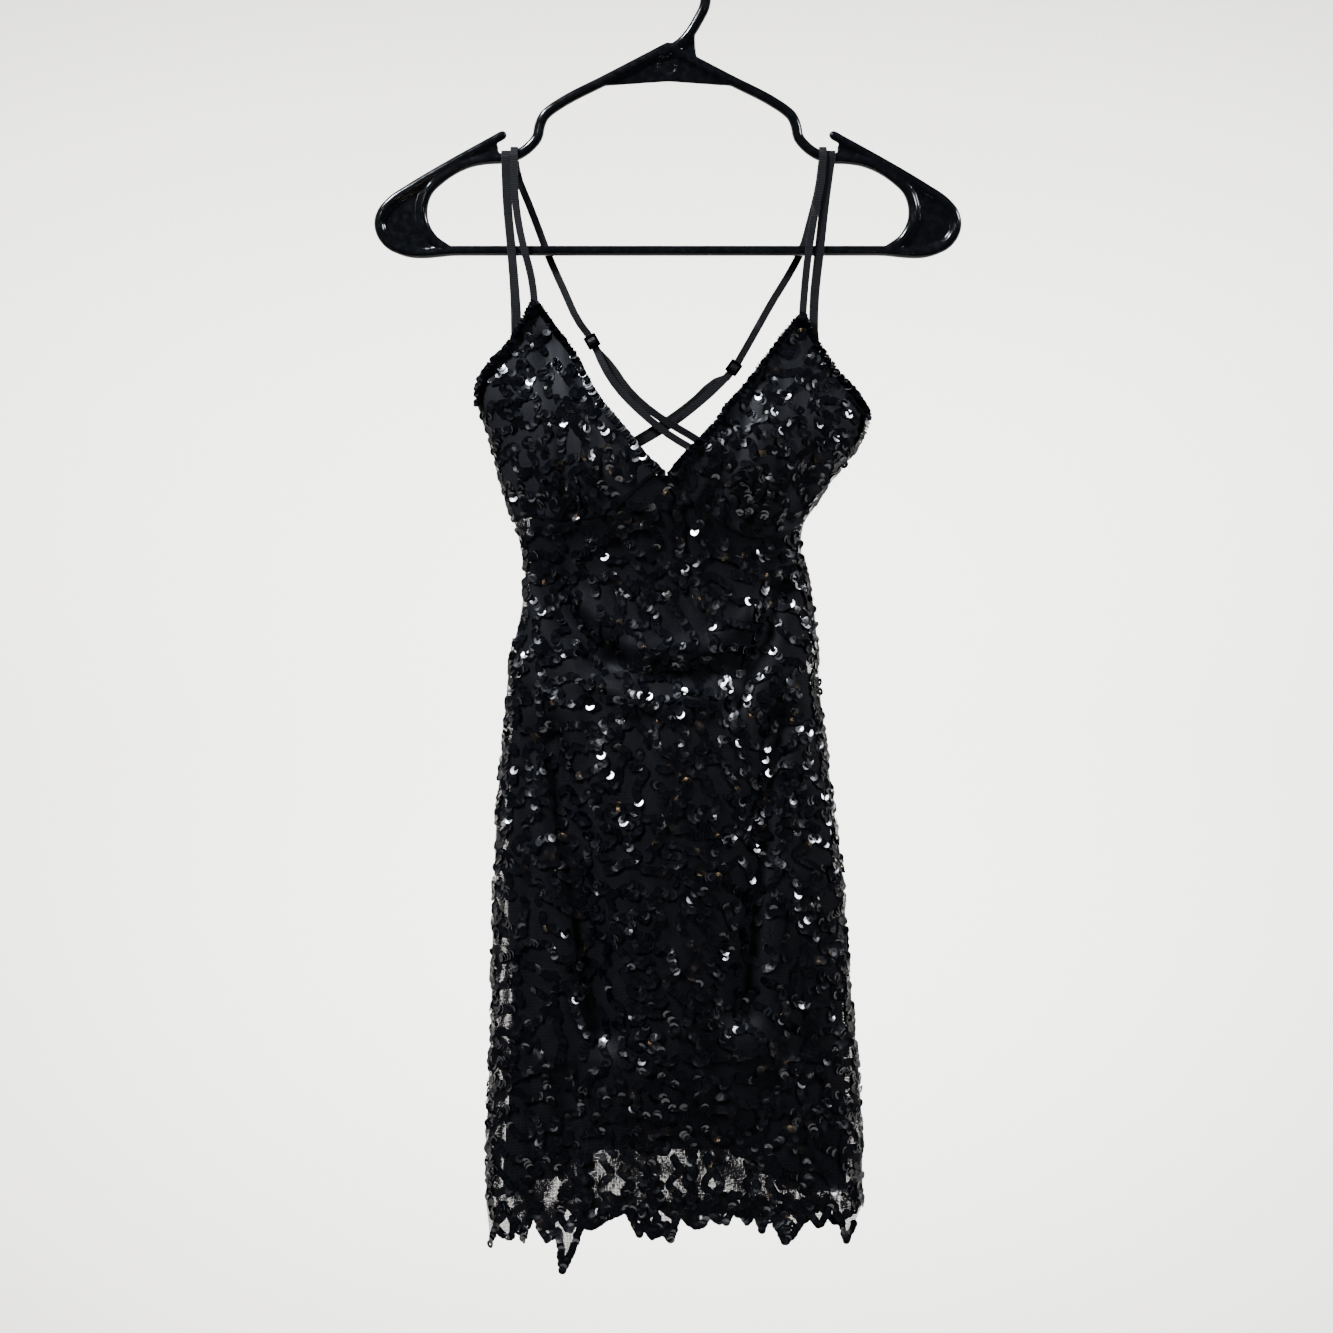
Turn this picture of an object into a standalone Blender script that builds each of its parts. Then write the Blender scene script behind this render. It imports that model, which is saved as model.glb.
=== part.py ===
"""A slip dress of sequinned net on a clothes hanger, as one still object.

Sizes are in millimetres in the tables and in metres in the scene. X runs to the viewer's right, +Z is up
and the front of the dress faces -Y. The origin is the top of the hook's inside, where a rail touches it.
Cloth is built as walls: an outer grid of points on the body's surface and an inner grid one thickness below.
"""

from collections import namedtuple

import bmesh
import bpy
import numpy as np

MM = 0.001

# Cloth thicknesses and clearances
NET = 1.1  # sequinned net, front and back body
CUP = 1.5  # cups, net on a soft backing
LINING = 1.0
TRIM = 1.5  # string of overlapping sequins along an edge
TRIM_WIDTH = 5.6
GAP = 0.35  # between a piece and the next
STRAP = 1.2
STRAP_WIDTH = 4.8
RIBBON = 1.0
RIBBON_WIDTH = 6.4
LINING_TOP = -420  # where the lining is sewn to the net, just under the bust
LINING_SEWN = NET + 0.4  # from the net's outer face to the lining's there
LINING_IN = 4.6  # the same lower down, where the lining hangs free

# Hanger
TUBE = 3.2  # radius of the moulded tube
STRAP_NOTCH_Z = -138.4  # of the tube's middle where the straps hang
RIBBON_NOTCH_Z = -139.4  # the same for the hanger loops
WEB = 2.4  # thickness of the filled areas
HOOK_RADIUS = 27.2  # of the tube's middle
SIDES = 9  # of a tube


Row = namedtuple("Row", "z left right front back")
# Side seams, and how far the cloth stands out in front and behind, from the cup points down to the hem
BODY = [
    Row(-240, -140, 146, 9.5, 9),
    Row(-262, -140, 146, 14, 11),
    Row(-301, -139, 146, 23, 14),
    Row(-315, -137.5, 146, 25, 15),
    Row(-328, -132, 144, 27, 16),
    Row(-346, -126.6, 136.5, 29, 17),
    Row(-366, -121.5, 121, 29, 18),
    Row(-383, -117, 108.5, 27, 18),
    Row(-399, -110.9, 98.5, 25, 18),
    Row(-416, -105, 95.5, 22, 17),
    Row(-435, -102.8, 99, 21, 17),
    Row(-462, -105, 105, 23, 18),
    Row(-500, -113.5, 107.5, 27, 21),
    Row(-550, -117.5, 112, 32, 25),
    Row(-600, -122.5, 118.5, 35, 28),
    Row(-650, -124.5, 125, 37, 30),
    Row(-700, -126, 128.5, 38, 30),
    Row(-750, -126.8, 132.5, 38, 30),
    Row(-800, -128.5, 137.5, 38, 30),
    Row(-860, -130.2, 139.5, 37, 29),
    Row(-945, -130.2, 139.8, 36, 28),
]

LiningRow = namedtuple("LiningRow", "z left right")
LINING_SIDES = [
    LiningRow(-420, -97, 88),
    LiningRow(-500, -104, 99),
    LiningRow(-540, -109, 105),
    LiningRow(-604, -113, 114),
    LiningRow(-690, -114, 122),
    LiningRow(-736, -111.5, 124.5),
    LiningRow(-810, -113.5, 126),
    LiningRow(-860, -117.5, 127.5),
    LiningRow(-945, -117.5, 127.5),
]

Fold = namedtuple("Fold", "name width depth path")
# Depth is how far the cloth sinks along the path; a ridge sinks by less than nothing
FRONT_FOLDS = [
    Fold("left swag", 11, 8.0, [(-87, -441), (-76, -463), (-59, -483), (-46, -503)]),
    Fold("right swag", 11, 8.0, [(80, -453), (69, -481), (60, -506), (49, -527)]),
    Fold("upper cowl", 9, -4.0, [(-62, -462), (-30, -487), (0, -494), (30, -490), (58, -468)]),
    Fold("cowl hollow", 8, 3.0, [(-40, -500), (-12, -512), (18, -513), (42, -505)]),
    Fold("lower cowl", 9, -4.0, [(-50, -512), (-20, -530), (12, -533), (46, -522)]),
    Fold("left furrow", 12, 11.0, [(-84, -556), (-76, -590), (-69, -623), (-63, -670), (-46, -762)]),
    Fold("right furrow", 12, 11.0, [(78, -545), (69, -605), (64, -652), (60, -689), (53, -748)]),
    Fold("centre bulge", 32, -6.0, [(-2, -560), (2, -640), (6, -740), (6, -800)]),
    Fold("left crease", 6, 3.0, [(-102, -525), (-97, -690), (-96, -890)]),
    Fold("right crease", 6, 3.0, [(94, -585), (94, -740), (95, -890)]),
    Fold("left hem furrow", 11, 5.0, [(-72, -800), (-76, -890)]),
    Fold("right hem furrow", 11, 5.0, [(68, -800), (70, -890)]),
    Fold("left cup fullness", 30, -8.0, [(-78, -325), (-66, -362)]),
    Fold("right cup fullness", 30, -8.0, [(84, -330), (66, -372)]),
    Fold("left cup gather", 8, 4.0, [(-86, -274), (-77, -327), (-71, -366), (-66, -392)]),
    Fold("right cup gather", 8, 4.0, [(81, -300), (84, -341), (70, -375), (56, -398)]),
    Fold("left cup side gather", 7, 2.5, [(-103, -300), (-98, -345), (-92, -388)]),
    Fold("left cup neck gather", 7, 2.5, [(-62, -300), (-50, -345), (-44, -388)]),
    Fold("right cup side gather", 7, 2.5, [(108, -310), (104, -350), (88, -400)]),
    Fold("right cup neck gather", 7, 2.5, [(58, -310), (50, -352), (32, -388)]),
]
BACK_FOLDS = [
    Fold("left drape", 14, 7.0, [(-66, -450), (-60, -560), (-56, -700)]),
    Fold("right drape", 14, 7.0, [(62, -450), (60, -570), (58, -720)]),
    Fold("middle drape", 16, 5.0, [(0, -600), (4, -720), (8, -860)]),
    Fold("left hem drape", 12, 5.0, [(-80, -760), (-84, -880)]),
    Fold("right hem drape", 12, 5.0, [(84, -760), (88, -880)]),
]

Point = namedtuple("Point", "x z")
# Under-bust seam: the front body's top edge
UNDER_BUST = [
    Point(-140, -398), Point(-95, -398.5), Point(-71, -400.5), Point(-51.5, -398.5), Point(-37, -391),
    Point(-24, -380.5), Point(-12, -370.5), Point(-1, -367.6), Point(8.6, -375), Point(16.5, -385),
    Point(25, -393.5),
    Point(34.3, -400), Point(45, -407.5), Point(73.7, -412), Point(84, -409), Point(97, -401.5),
    Point(140, -400),
]
BACK_NECK = [
    Point(-140, -314), Point(-126, -338), Point(-100, -361), Point(-60, -375), Point(0, -380),
    Point(60, -377), Point(100, -368), Point(124, -355), Point(140, -338), Point(150, -330),
]
# The front's ragged hem, cut round the sequin motifs
FRONT_HEM = [
    Point(-130, -886.7), Point(-126.5, -918.7), Point(-122.3, -904), Point(-118, -909.5),
    Point(-110.5, -910.8), Point(-108.5, -896.8), Point(-102.5, -912.2), Point(-95.2, -889.1),
    Point(-90, -903.7), Point(-85, -911.3), Point(-77, -904.1), Point(-74.3, -932.7), Point(-68, -918.7),
    Point(-60.5, -899.7), Point(-52.5, -901), Point(-45, -895.9), Point(-40, -883.6), Point(-36, -891.4),
    Point(-29.5, -887.9), Point(-20, -905.5), Point(-17.5, -897.6), Point(-11.5, -907.5),
    Point(-3.5, -903.5), Point(2, -909.9), Point(8, -887.7), Point(14.3, -897.6), Point(20.8, -900.1),
    Point(25.5, -898.6), Point(27.5, -882.4), Point(32.2, -894.2), Point(40.8, -897.7), Point(46.5, -883),
    Point(51, -890.5), Point(55.8, -897.4), Point(60.8, -890.6), Point(66.5, -904.1), Point(71, -885.9),
    Point(77, -899.9), Point(83, -912.9), Point(93.5, -900.4), Point(96, -885.2), Point(105, -900.9),
    Point(108.8, -900.2), Point(116, -886.2), Point(121.5, -897.5), Point(126.7, -913.4),
    Point(133, -900.2), Point(139.6, -886.7),
]
BACK_HEM = [
    Point(-130, -888), Point(-124, -908), Point(-116, -897), Point(-106, -911), Point(-95, -896),
    Point(-84, -908), Point(-73, -894), Point(-62, -906), Point(-51, -893), Point(-41, -904),
    Point(-29, -893), Point(-18, -907), Point(-6, -895), Point(5, -906), Point(17, -893), Point(28, -904),
    Point(39, -892), Point(51, -903), Point(62, -893), Point(74, -906), Point(86, -896), Point(97, -907),
    Point(109, -894), Point(120, -906), Point(131, -898), Point(139.6, -888),
]
LINING_HEM = [
    Point(-118, -876), Point(-98, -869.9), Point(-80, -866.3), Point(-71, -857.1), Point(-59, -846),
    Point(0, -843.6), Point(64, -846), Point(66, -854.9), Point(75, -863.9), Point(80, -873.9),
    Point(128, -878.1),
]
BACK_LINING_HEM = [
    Point(-118, -878), Point(-80, -872), Point(-40, -862), Point(0, -858), Point(40, -862), Point(80, -872),
    Point(128, -880),
]

# Cup edges: side is that of its armhole; armhole and neckline both run up to the cup point
Cup = namedtuple("Cup", "name side seam_top armhole neckline")
CUPS = [
    Cup(
        "left", -1, -315,
        [
            Point(-137.2, -315), Point(-135.9, -301.2), Point(-126.6, -286.2), Point(-115.2, -274),
            Point(-108.8, -263.3), Point(-101.6, -251.1), Point(-97.8, -243.6),
        ],
        [
            Point(-1.8, -366), Point(-12.9, -355.6), Point(-29.3, -335.6), Point(-47.9, -312.7),
            Point(-66.5, -279), Point(-80, -260), Point(-91.6, -243.6),
        ],
    ),
    Cup(
        "right", 1, -339,
        [
            Point(139, -339), Point(143.6, -325), Point(135.2, -309.1), Point(120.2, -291.9),
            Point(107.3, -271.9), Point(99.8, -256), Point(99, -252.4),
        ],
        [
            Point(-0.2, -366), Point(13.5, -350), Point(24.4, -340), Point(34.1, -328.8),
            Point(42.8, -316), Point(55.8, -301), Point(68.9, -283.5), Point(81.8, -266),
            Point(88, -258.5), Point(93, -252.4),
        ],
    ),
]

Bead = namedtuple("Bead", "x y z")


# Curves and tables
def smooth(xs, ys, x):
    """Values at x of the smooth curve through a table, with flat ends."""
    xs, ys = np.asarray(xs, float), np.asarray(ys, float)
    if xs[0] > xs[-1]:
        xs, ys = xs[::-1], ys[::-1]
    x = np.clip(x, xs[0], xs[-1])
    slope = np.gradient(ys, xs)
    i = np.clip(np.searchsorted(xs, x, side="right") - 1, 0, len(xs) - 2)
    h = xs[i + 1] - xs[i]
    t = (x - xs[i]) / h
    a, b = ys[i], ys[i + 1]
    return (
        (1 + 2 * t) * (1 - t) ** 2 * a
        + t * (1 - t) ** 2 * h * slope[i]
        + t * t * (3 - 2 * t) * b
        + t * t * (t - 1) * h * slope[i + 1]
    )


def column(table, name):
    return np.array([getattr(row, name) for row in table], float)


def body(name, z):
    return smooth(column(BODY, "z"), column(BODY, name), z)


def along(points, count, corners=()):
    """Points spread evenly along a smooth line, keeping the listed corners sharp."""
    points = np.array(points, float)
    stops = [0, *corners, len(points) - 1]
    lengths = np.r_[0, np.cumsum(np.linalg.norm(np.diff(points, axis=0), axis=1))]
    wanted = np.linspace(0, lengths[-1], count)
    for corner in corners:
        nearest = np.abs(wanted - lengths[corner]).argmin()
        wanted[nearest] = lengths[corner]
    out = np.empty((count, points.shape[1]))
    for a, b in zip(stops[:-1], stops[1:]):
        inside = (wanted >= lengths[a] - 1e-9) & (wanted <= lengths[b] + 1e-9)
        for axis in range(points.shape[1]):
            if b - a == 1:
                out[inside, axis] = np.interp(wanted[inside], lengths[a : b + 1], points[a : b + 1, axis])
            else:
                out[inside, axis] = smooth(lengths[a : b + 1], points[a : b + 1, axis], wanted[inside])
    return out


def distance_to(path, x, z):
    """How far each point lies from a path in the front plane."""
    path = np.array(path, float)
    best = np.full(np.shape(x), np.inf)
    for (ax, az), (bx, bz) in zip(path[:-1], path[1:]):
        length = (bx - ax) ** 2 + (bz - az) ** 2
        t = np.clip(((x - ax) * (bx - ax) + (z - az) * (bz - az)) / length, 0, 1)
        best = np.minimum(best, np.hypot(x - ax - t * (bx - ax), z - az - t * (bz - az)))
    return best


# The body's surface
def middle(z):
    return (body("left", z) + body("right", z)) / 2, (body("right", z) - body("left", z)) / 2


def across(u):
    """How far the cloth stands out at u, from 1 in the middle to 0 at the side seams."""
    return (1 - np.abs(np.clip(u, -1, 1)) ** 2.3) ** 0.55


def folds(table, x, z, u):
    total = sum(f.depth * np.exp(-((distance_to(f.path, x, z) / f.width) ** 2)) for f in table)
    return total * (1 - np.abs(np.clip(u, -1, 1)) ** 6)


def front(u, z):
    """A point on the front's outer face: u runs from -1 at the left side seam to 1 at the right."""
    u, z = np.broadcast_arrays(np.asarray(u, float), np.asarray(z, float))
    centre, half = middle(z)
    x = centre + half * u
    y = -body("front", z) * across(u) + folds(FRONT_FOLDS, x, z, u) - GAP / 2
    return np.stack([x, np.minimum(y, -GAP / 2), z], axis=-1)


def back(u, z):
    u, z = np.broadcast_arrays(np.asarray(u, float), np.asarray(z, float))
    centre, half = middle(z)
    x = centre + half * u
    y = body("back", z) * across(u) - folds(BACK_FOLDS, x, z, u) + GAP / 2
    return np.stack([x, np.maximum(y, GAP / 2), z], axis=-1)


def lining_surface(outer, table, sign):
    """The lining's face: the outer surface drawn in, with its own narrower side seams."""

    def point(v, z):
        v, z = np.broadcast_arrays(np.asarray(v, float), np.asarray(z, float))
        left = smooth(column(table, "z"), column(table, "left"), z)
        right = smooth(column(table, "z"), column(table, "right"), z)
        x = (left + right) / 2 + (right - left) / 2 * v
        centre, half = middle(z)
        u = (x - centre) / half
        free = np.clip((LINING_TOP - z) / 30, 0, 1)
        depth = np.abs(outer(u, z)[..., 1]) - LINING_SEWN - (LINING_IN - LINING_SEWN) * free
        reach = across(v) / np.maximum(across(0.8 * v), 0.2)
        y = np.maximum(depth * np.minimum(reach, 1), 0) + GAP / 2
        return np.stack([x, sign * y, z], axis=-1)

    return point


def normals(surface, u, z, outward):
    """Unit normals of a surface at each point; outward is -1 for the front and 1 for the back."""
    low, high = np.clip(u - 0.004, -1, 1), np.clip(u + 0.004, -1, 1)
    across_it = surface(high, z) - surface(low, z)
    down_it = surface(u, z - 0.5) - surface(u, z + 0.5)
    n = np.cross(across_it, down_it)
    n /= np.linalg.norm(n, axis=-1, keepdims=True)
    away = np.stack([u, np.full(np.shape(u), 0.3 * outward), np.zeros(np.shape(u))], axis=-1)
    n[(n * away).sum(axis=-1) < 0] *= -1
    return n


def levels(*stretches):
    """Heights of a panel's rows: (first, last, rows) for each stretch."""
    heights = [np.linspace(first, last, rows, endpoint=False) for first, last, rows in stretches]
    return list(np.concatenate([*heights, [stretches[-1][1]]]))


FRONT_LEVELS = levels((-420, -545, 8), (-545, -880, 10))


# Solids
def colour(obj, name, rgb, rough):
    material = bpy.data.materials.new(name)
    material.use_nodes = True
    shader = material.node_tree.nodes["Principled BSDF"]
    shader.inputs["Base Color"].default_value = (*rgb, 1)
    shader.inputs["Roughness"].default_value = rough
    obj.data.materials.append(material)


def solid(name, points, faces, rgb=(0.02, 0.02, 0.024), rough=0.6):
    mesh = bpy.data.meshes.new(name)
    mesh.from_pydata([tuple(p * MM) for p in np.asarray(points, float)], [], faces)
    work = bmesh.new()
    work.from_mesh(mesh)
    bmesh.ops.recalc_face_normals(work, faces=work.faces)
    work.to_mesh(mesh)
    work.free()
    obj = bpy.data.objects.new(name, mesh)
    bpy.context.scene.collection.objects.link(obj)
    colour(obj, name + "_material", rgb, rough)
    return obj


def wall(name, outer, inner, **look):
    """A closed wall between two grids of points of the same shape."""
    rows, columns = outer.shape[:2]
    points = np.concatenate([outer.reshape(-1, 3), inner.reshape(-1, 3)])
    back_of = rows * columns

    def at(i, j):
        return i * columns + j

    faces = []
    for i in range(rows - 1):
        for j in range(columns - 1):
            a, b, c, d = at(i, j), at(i, j + 1), at(i + 1, j + 1), at(i + 1, j)
            faces += [(a, b, c, d), (a + back_of, d + back_of, c + back_of, b + back_of)]
    rim = [at(0, j) for j in range(columns)] + [at(i, columns - 1) for i in range(1, rows)]
    rim += [at(rows - 1, j) for j in range(columns - 2, -1, -1)] + [at(i, 0) for i in range(rows - 2, 0, -1)]
    faces += [(a, a + back_of, b + back_of, b) for a, b in zip(rim, rim[1:] + rim[:1])]
    return solid(name, points, faces, **look)


def panel(name, surface, thickness, top, hem, levels, outward, widest, top_rows=3, **look):
    """A body panel: columns no wider than widest follow the hem's points, rows the given levels."""
    hem_x = [hem[0].x]
    for before, after in zip(hem, hem[1:]):
        parts = max(1, int(np.ceil((after.x - before.x) / widest)))
        hem_x += list(np.linspace(before.x, after.x, parts + 1)[1:])
    hem_x = np.array(hem_x)
    hem_z = np.interp(hem_x, column(hem, "x"), column(hem, "z"))
    left, right = surface(-1, hem_z)[..., 0], surface(1, hem_z)[..., 0]
    u = np.clip(2 * (hem_x - left) / (right - left) - 1, -1, 1)
    u[0], u[-1] = -1, 1
    start = np.full(len(u), levels[0])
    for _ in range(12):
        start = (start + smooth(column(top, "x"), column(top, "z"), surface(u, start)[..., 0])) / 2
    share = np.linspace(0, 1, top_rows, endpoint=False)[:, None]
    level_rows = np.repeat(np.array(levels, float)[:, None], len(u), 1)
    z = np.concatenate([start + (levels[0] - start) * share, level_rows, hem_z[None]])
    u = np.repeat(u[None], len(z), 0)
    outer = surface(u, z)
    inner = outer - thickness * normals(surface, u, z, outward)
    inner[..., 1] = outward * np.maximum(outward * inner[..., 1], GAP / 2)
    return wall(name, outer, inner, **look)


CUP_FOOT = {"left": -397.5, "right": -400}  # where each cup's side seam starts
SEAM_LIFT = 0.8  # of the cups' lower edges off the body's top edge


def cup_grid(cup, rows=18, columns=12):
    """The cup's outline filled in: rows from the under-bust seam up to the cup point."""
    side_z = np.linspace(CUP_FOOT[cup.name], cup.seam_top, 6)[:-1]
    seam = np.stack([body(cup.name, side_z), side_z], axis=1)
    lower = along(np.concatenate([seam, [tuple(cup.armhole[0])]]), rows // 2 + 1)
    upper = along(cup.armhole, rows - rows // 2)
    outside = np.concatenate([lower[:-1], upper])
    inside = along(cup.neckline, rows)
    end = inside[0]
    bottom_x = np.linspace(outside[0][0], end[0], columns)
    bottom_z = smooth(column(UNDER_BUST, "x"), column(UNDER_BUST, "z"), bottom_x) + SEAM_LIFT
    bottom = np.stack([bottom_x, bottom_z], axis=1)
    bottom[0], bottom[-1] = outside[0], end
    top = np.linspace(outside[-1], inside[-1], columns)
    s = np.linspace(0, 1, rows)[:, None, None]
    t = np.linspace(0, 1, columns)[None, :, None]
    ruled = (1 - s) * bottom[None] + s * top[None] + (1 - t) * outside[:, None] + t * inside[:, None]
    return ruled - (
        (1 - s) * (1 - t) * bottom[0] + (1 - s) * t * bottom[-1] + s * (1 - t) * top[0] + s * t * top[-1]
    )


def lifted(flat):
    """Where points of the front plane lie on the dress: (u, z) for the front's surface."""
    centre, half = middle(flat[..., 1])
    return np.clip((flat[..., 0] - centre) / half, -1, 1), flat[..., 1]


def build_cup(cup):
    u, z = lifted(cup_grid(cup))
    outer = front(u, z)
    inner = outer - CUP * normals(front, u, z, -1)
    inner[..., 1] = np.minimum(inner[..., 1], -GAP / 2)
    wall(cup.name + "_cup", outer, inner)


def build_trim(name, edge, other_edge, inward, stations):
    """A band of sewn sequins on a cup's edge, made from the cup's points moved out; it narrows at the tip."""
    line = along(edge, stations)
    ahead = np.gradient(line, axis=0)
    side = np.stack([-ahead[:, 1], ahead[:, 0]], axis=1)
    side /= np.linalg.norm(side, axis=1, keepdims=True)
    side *= inward
    room = distance_to(other_edge, line[:, 0], line[:, 1])
    width = np.minimum(TRIM_WIDTH, (room - GAP) / 2)[:, None]
    flat = np.stack([line + side * width * share for share in (0, 0.5, 1)], axis=1)
    u, z = lifted(flat)
    base, n = front(u, z), normals(front, u, z, -1)
    crown = np.array([0.75, 1.0, 0.75])[None, :, None]
    below = 2 * GAP
    wall(name, base + n * (below + TRIM * crown), base + n * below, rgb=(0.03, 0.03, 0.035), rough=0.3)


# Strips and tubes
def frames(path, first_side):
    """Unit directions along and across a path, turning no more than the path does."""
    ahead = np.gradient(path, axis=0)
    ahead /= np.linalg.norm(ahead, axis=1, keepdims=True)
    sides = [np.array(first_side, float)]
    for a in ahead:
        side = sides[-1] - a * (sides[-1] @ a)
        sides.append(side / np.linalg.norm(side))
    return ahead, np.array(sides[1:])


def swept(name, path, section, first_side, **look):
    """A solid with one section all along a path; the section's first axis lies along the side."""
    path = np.asarray(path, float)
    ahead, side = frames(path, first_side)
    up = np.cross(side, ahead)
    section = np.asarray(section, float)
    rings = path[:, None] + side[:, None] * section[None, :, :1] + up[:, None] * section[None, :, 1:]
    count = len(section)
    faces = [tuple(range(count)), tuple(range((len(path) - 1) * count, len(path) * count))[::-1]]
    for i in range(len(path) - 1):
        for j in range(count):
            k = (j + 1) % count
            faces.append((i * count + j, i * count + k, (i + 1) * count + k, (i + 1) * count + j))
    return solid(name, rings.reshape(-1, 3), faces, **look)


def oblong(width, thickness):
    w, t = width / 2, thickness / 2
    return [(-w, -t), (w, -t), (w, t), (-w, t)]


def disc(radius, sides=SIDES):
    turn = np.arange(sides) * 2 * np.pi / sides
    return np.stack([np.cos(turn), np.sin(turn)], axis=1) * radius


def over_tube(x, z, radius, steps):
    """A half turn over the hanger's tube, from its front to its back."""
    return [Bead(x, radius * np.cos(a), z + radius * np.sin(a)) for a in np.linspace(np.pi, 0, steps)]


def fine(path, step):
    """The same line with points about one step apart."""
    path = np.array(path, float)
    total = np.linalg.norm(np.diff(path, axis=0), axis=1).sum()
    return along(path, max(3, round(total / step) + 1))


Strap = namedtuple("Strap", "name tip rise notch fall slider down knot home")
STRAPS = [
    Strap(
        "left",
        [
            Bead(-94.6, -4.3, -253), Bead(-95.2, -4.5, -244),
        ],
        [
            Bead(-98, -5.2, -223), Bead(-102.3, -6.1, -206.8), Bead(-105.9, -6.1, -191),
            Bead(-109.3, -6, -165),
        ],
        -109.9,
        [
            Bead(-107.5, 6, -152), Bead(-100, 6, -171), Bead(-92.3, 6.1, -191), Bead(-87.3, 6.1, -204.6),
            Bead(-74.4, 6, -234), Bead(-64, 6, -256),
        ],
        Bead(-54.4, 6, -270.2),
        [
            Bead(-45.5, 6.2, -289), Bead(-35.1, 6.4, -304.7), Bead(-23, 6.6, -317.4),
            Bead(-9, 6.8, -329.6), Bead(0.6, 7, -337), Bead(16, 7.3, -346.4), Bead(40, 7.6, -361),
        ],
        Bead(60, 7.8, -377),
        [
            Bead(44, 10.2, -358.5), Bead(23.3, 9.8, -342), Bead(9.3, 9.4, -333.5), Bead(-1.8, 9.2, -327),
            Bead(-14.5, 9.2, -318), Bead(-29.5, 9.2, -303.5), Bead(-42, 9.2, -286),
        ],
    ),
    Strap(
        "right",
        [
            Bead(95.8, -4.3, -262), Bead(96.2, -4.5, -253),
        ],
        [
            Bead(97.5, -5, -235), Bead(100.5, -6.1, -206.8), Bead(103, -6.1, -191), Bead(105.5, -6, -176),
            Bead(109.2, -6, -158),
        ],
        110.8,
        [
            Bead(108, 6, -160), Bead(102.5, 6, -182.4), Bead(96, 6.1, -204.6), Bead(88.6, 6.6, -219),
            Bead(75.1, 9.5, -241.1), Bead(61, 11.5, -266),
        ],
        Bead(47.4, 12.4, -288.5),
        [
            Bead(33.5, 12.8, -304), Bead(20, 13, -315.8), Bead(8, 13, -325.2), Bead(-5, 12.8, -333.8),
            Bead(-21.7, 12.3, -343.5), Bead(-44, 11.2, -357),
        ],
        Bead(-62, 9, -377),
        [
            Bead(-44, 13.8, -354), Bead(-24, 15, -341), Bead(-6, 15.5, -330), Bead(8, 15.6, -320.5),
            Bead(20, 15.6, -311), Bead(34, 15.4, -298.5),
        ],
    ),
]


def slider_frame(strap):
    """Middle, direction of the strap and direction across it, in the slider's plane."""
    middle_ = np.array(strap.slider, float)
    before, after = np.array(strap.fall[-1], float), np.array(strap.down[0], float)
    ahead = (after - before) * (1, 0, 1)
    ahead /= np.linalg.norm(ahead)
    return middle_, ahead, np.cross((0, 1, 0), ahead)


PITCH = 3.8  # between a slider's bars
WIRE = 0.65  # half the thickness of a bar
WEAVE = 1.7  # how far the strap passes behind and in front of the bars


def build_strap(strap):
    """One strip: cup point, front leg, notch, back leg, through the slider, down, round and back up."""
    at, ahead, across_it = slider_frame(strap)
    weave = []
    for s in np.arange(-1.5 * PITCH, 1.5 * PITCH + 0.01, PITCH / 6):
        y = -WEAVE * np.cos(np.pi * s / PITCH)
        y = np.where(abs(s) > PITCH, WEAVE, y)
        weave.append(at + ahead * s + np.array([0, y, 0]))
    arch = over_tube(strap.notch, STRAP_NOTCH_Z, TUBE + 2.8, 9)
    first = fine([*strap.tip, *strap.rise, arch[0]], 9)
    second = fine([arch[-1], *strap.fall, weave[0]], 9)
    third = fine([weave[-1], *strap.down, strap.knot], 9)
    home = np.array(strap.home, float)
    end = at + ahead * 1.6 + np.array([0, 2.0, 0])
    bend = at + ahead * PITCH + np.array([0, WEAVE + 1.75, 0])
    fourth = fine([*home, at + ahead * (PITCH * 2.2) + np.array([0, WEAVE + 1.9, 0])], 9)
    knot = np.array(strap.knot, float)
    loop = [knot + (0, 0.5, -1.0), knot + (0, 1.4, -1.5), knot + (0, 2.3, -1.0)]
    loop.append(knot + (0, 2.8, 0.4))
    path = np.concatenate([first, arch[1:-1], second, weave[1:-1], third, loop, fourth, [bend, end]])
    swept(strap.name + "_strap", path, oblong(STRAP_WIDTH, STRAP), (1, 0, 0), rgb=(0.03, 0.03, 0.033))
    build_slider(strap, at, ahead, across_it)


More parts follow.
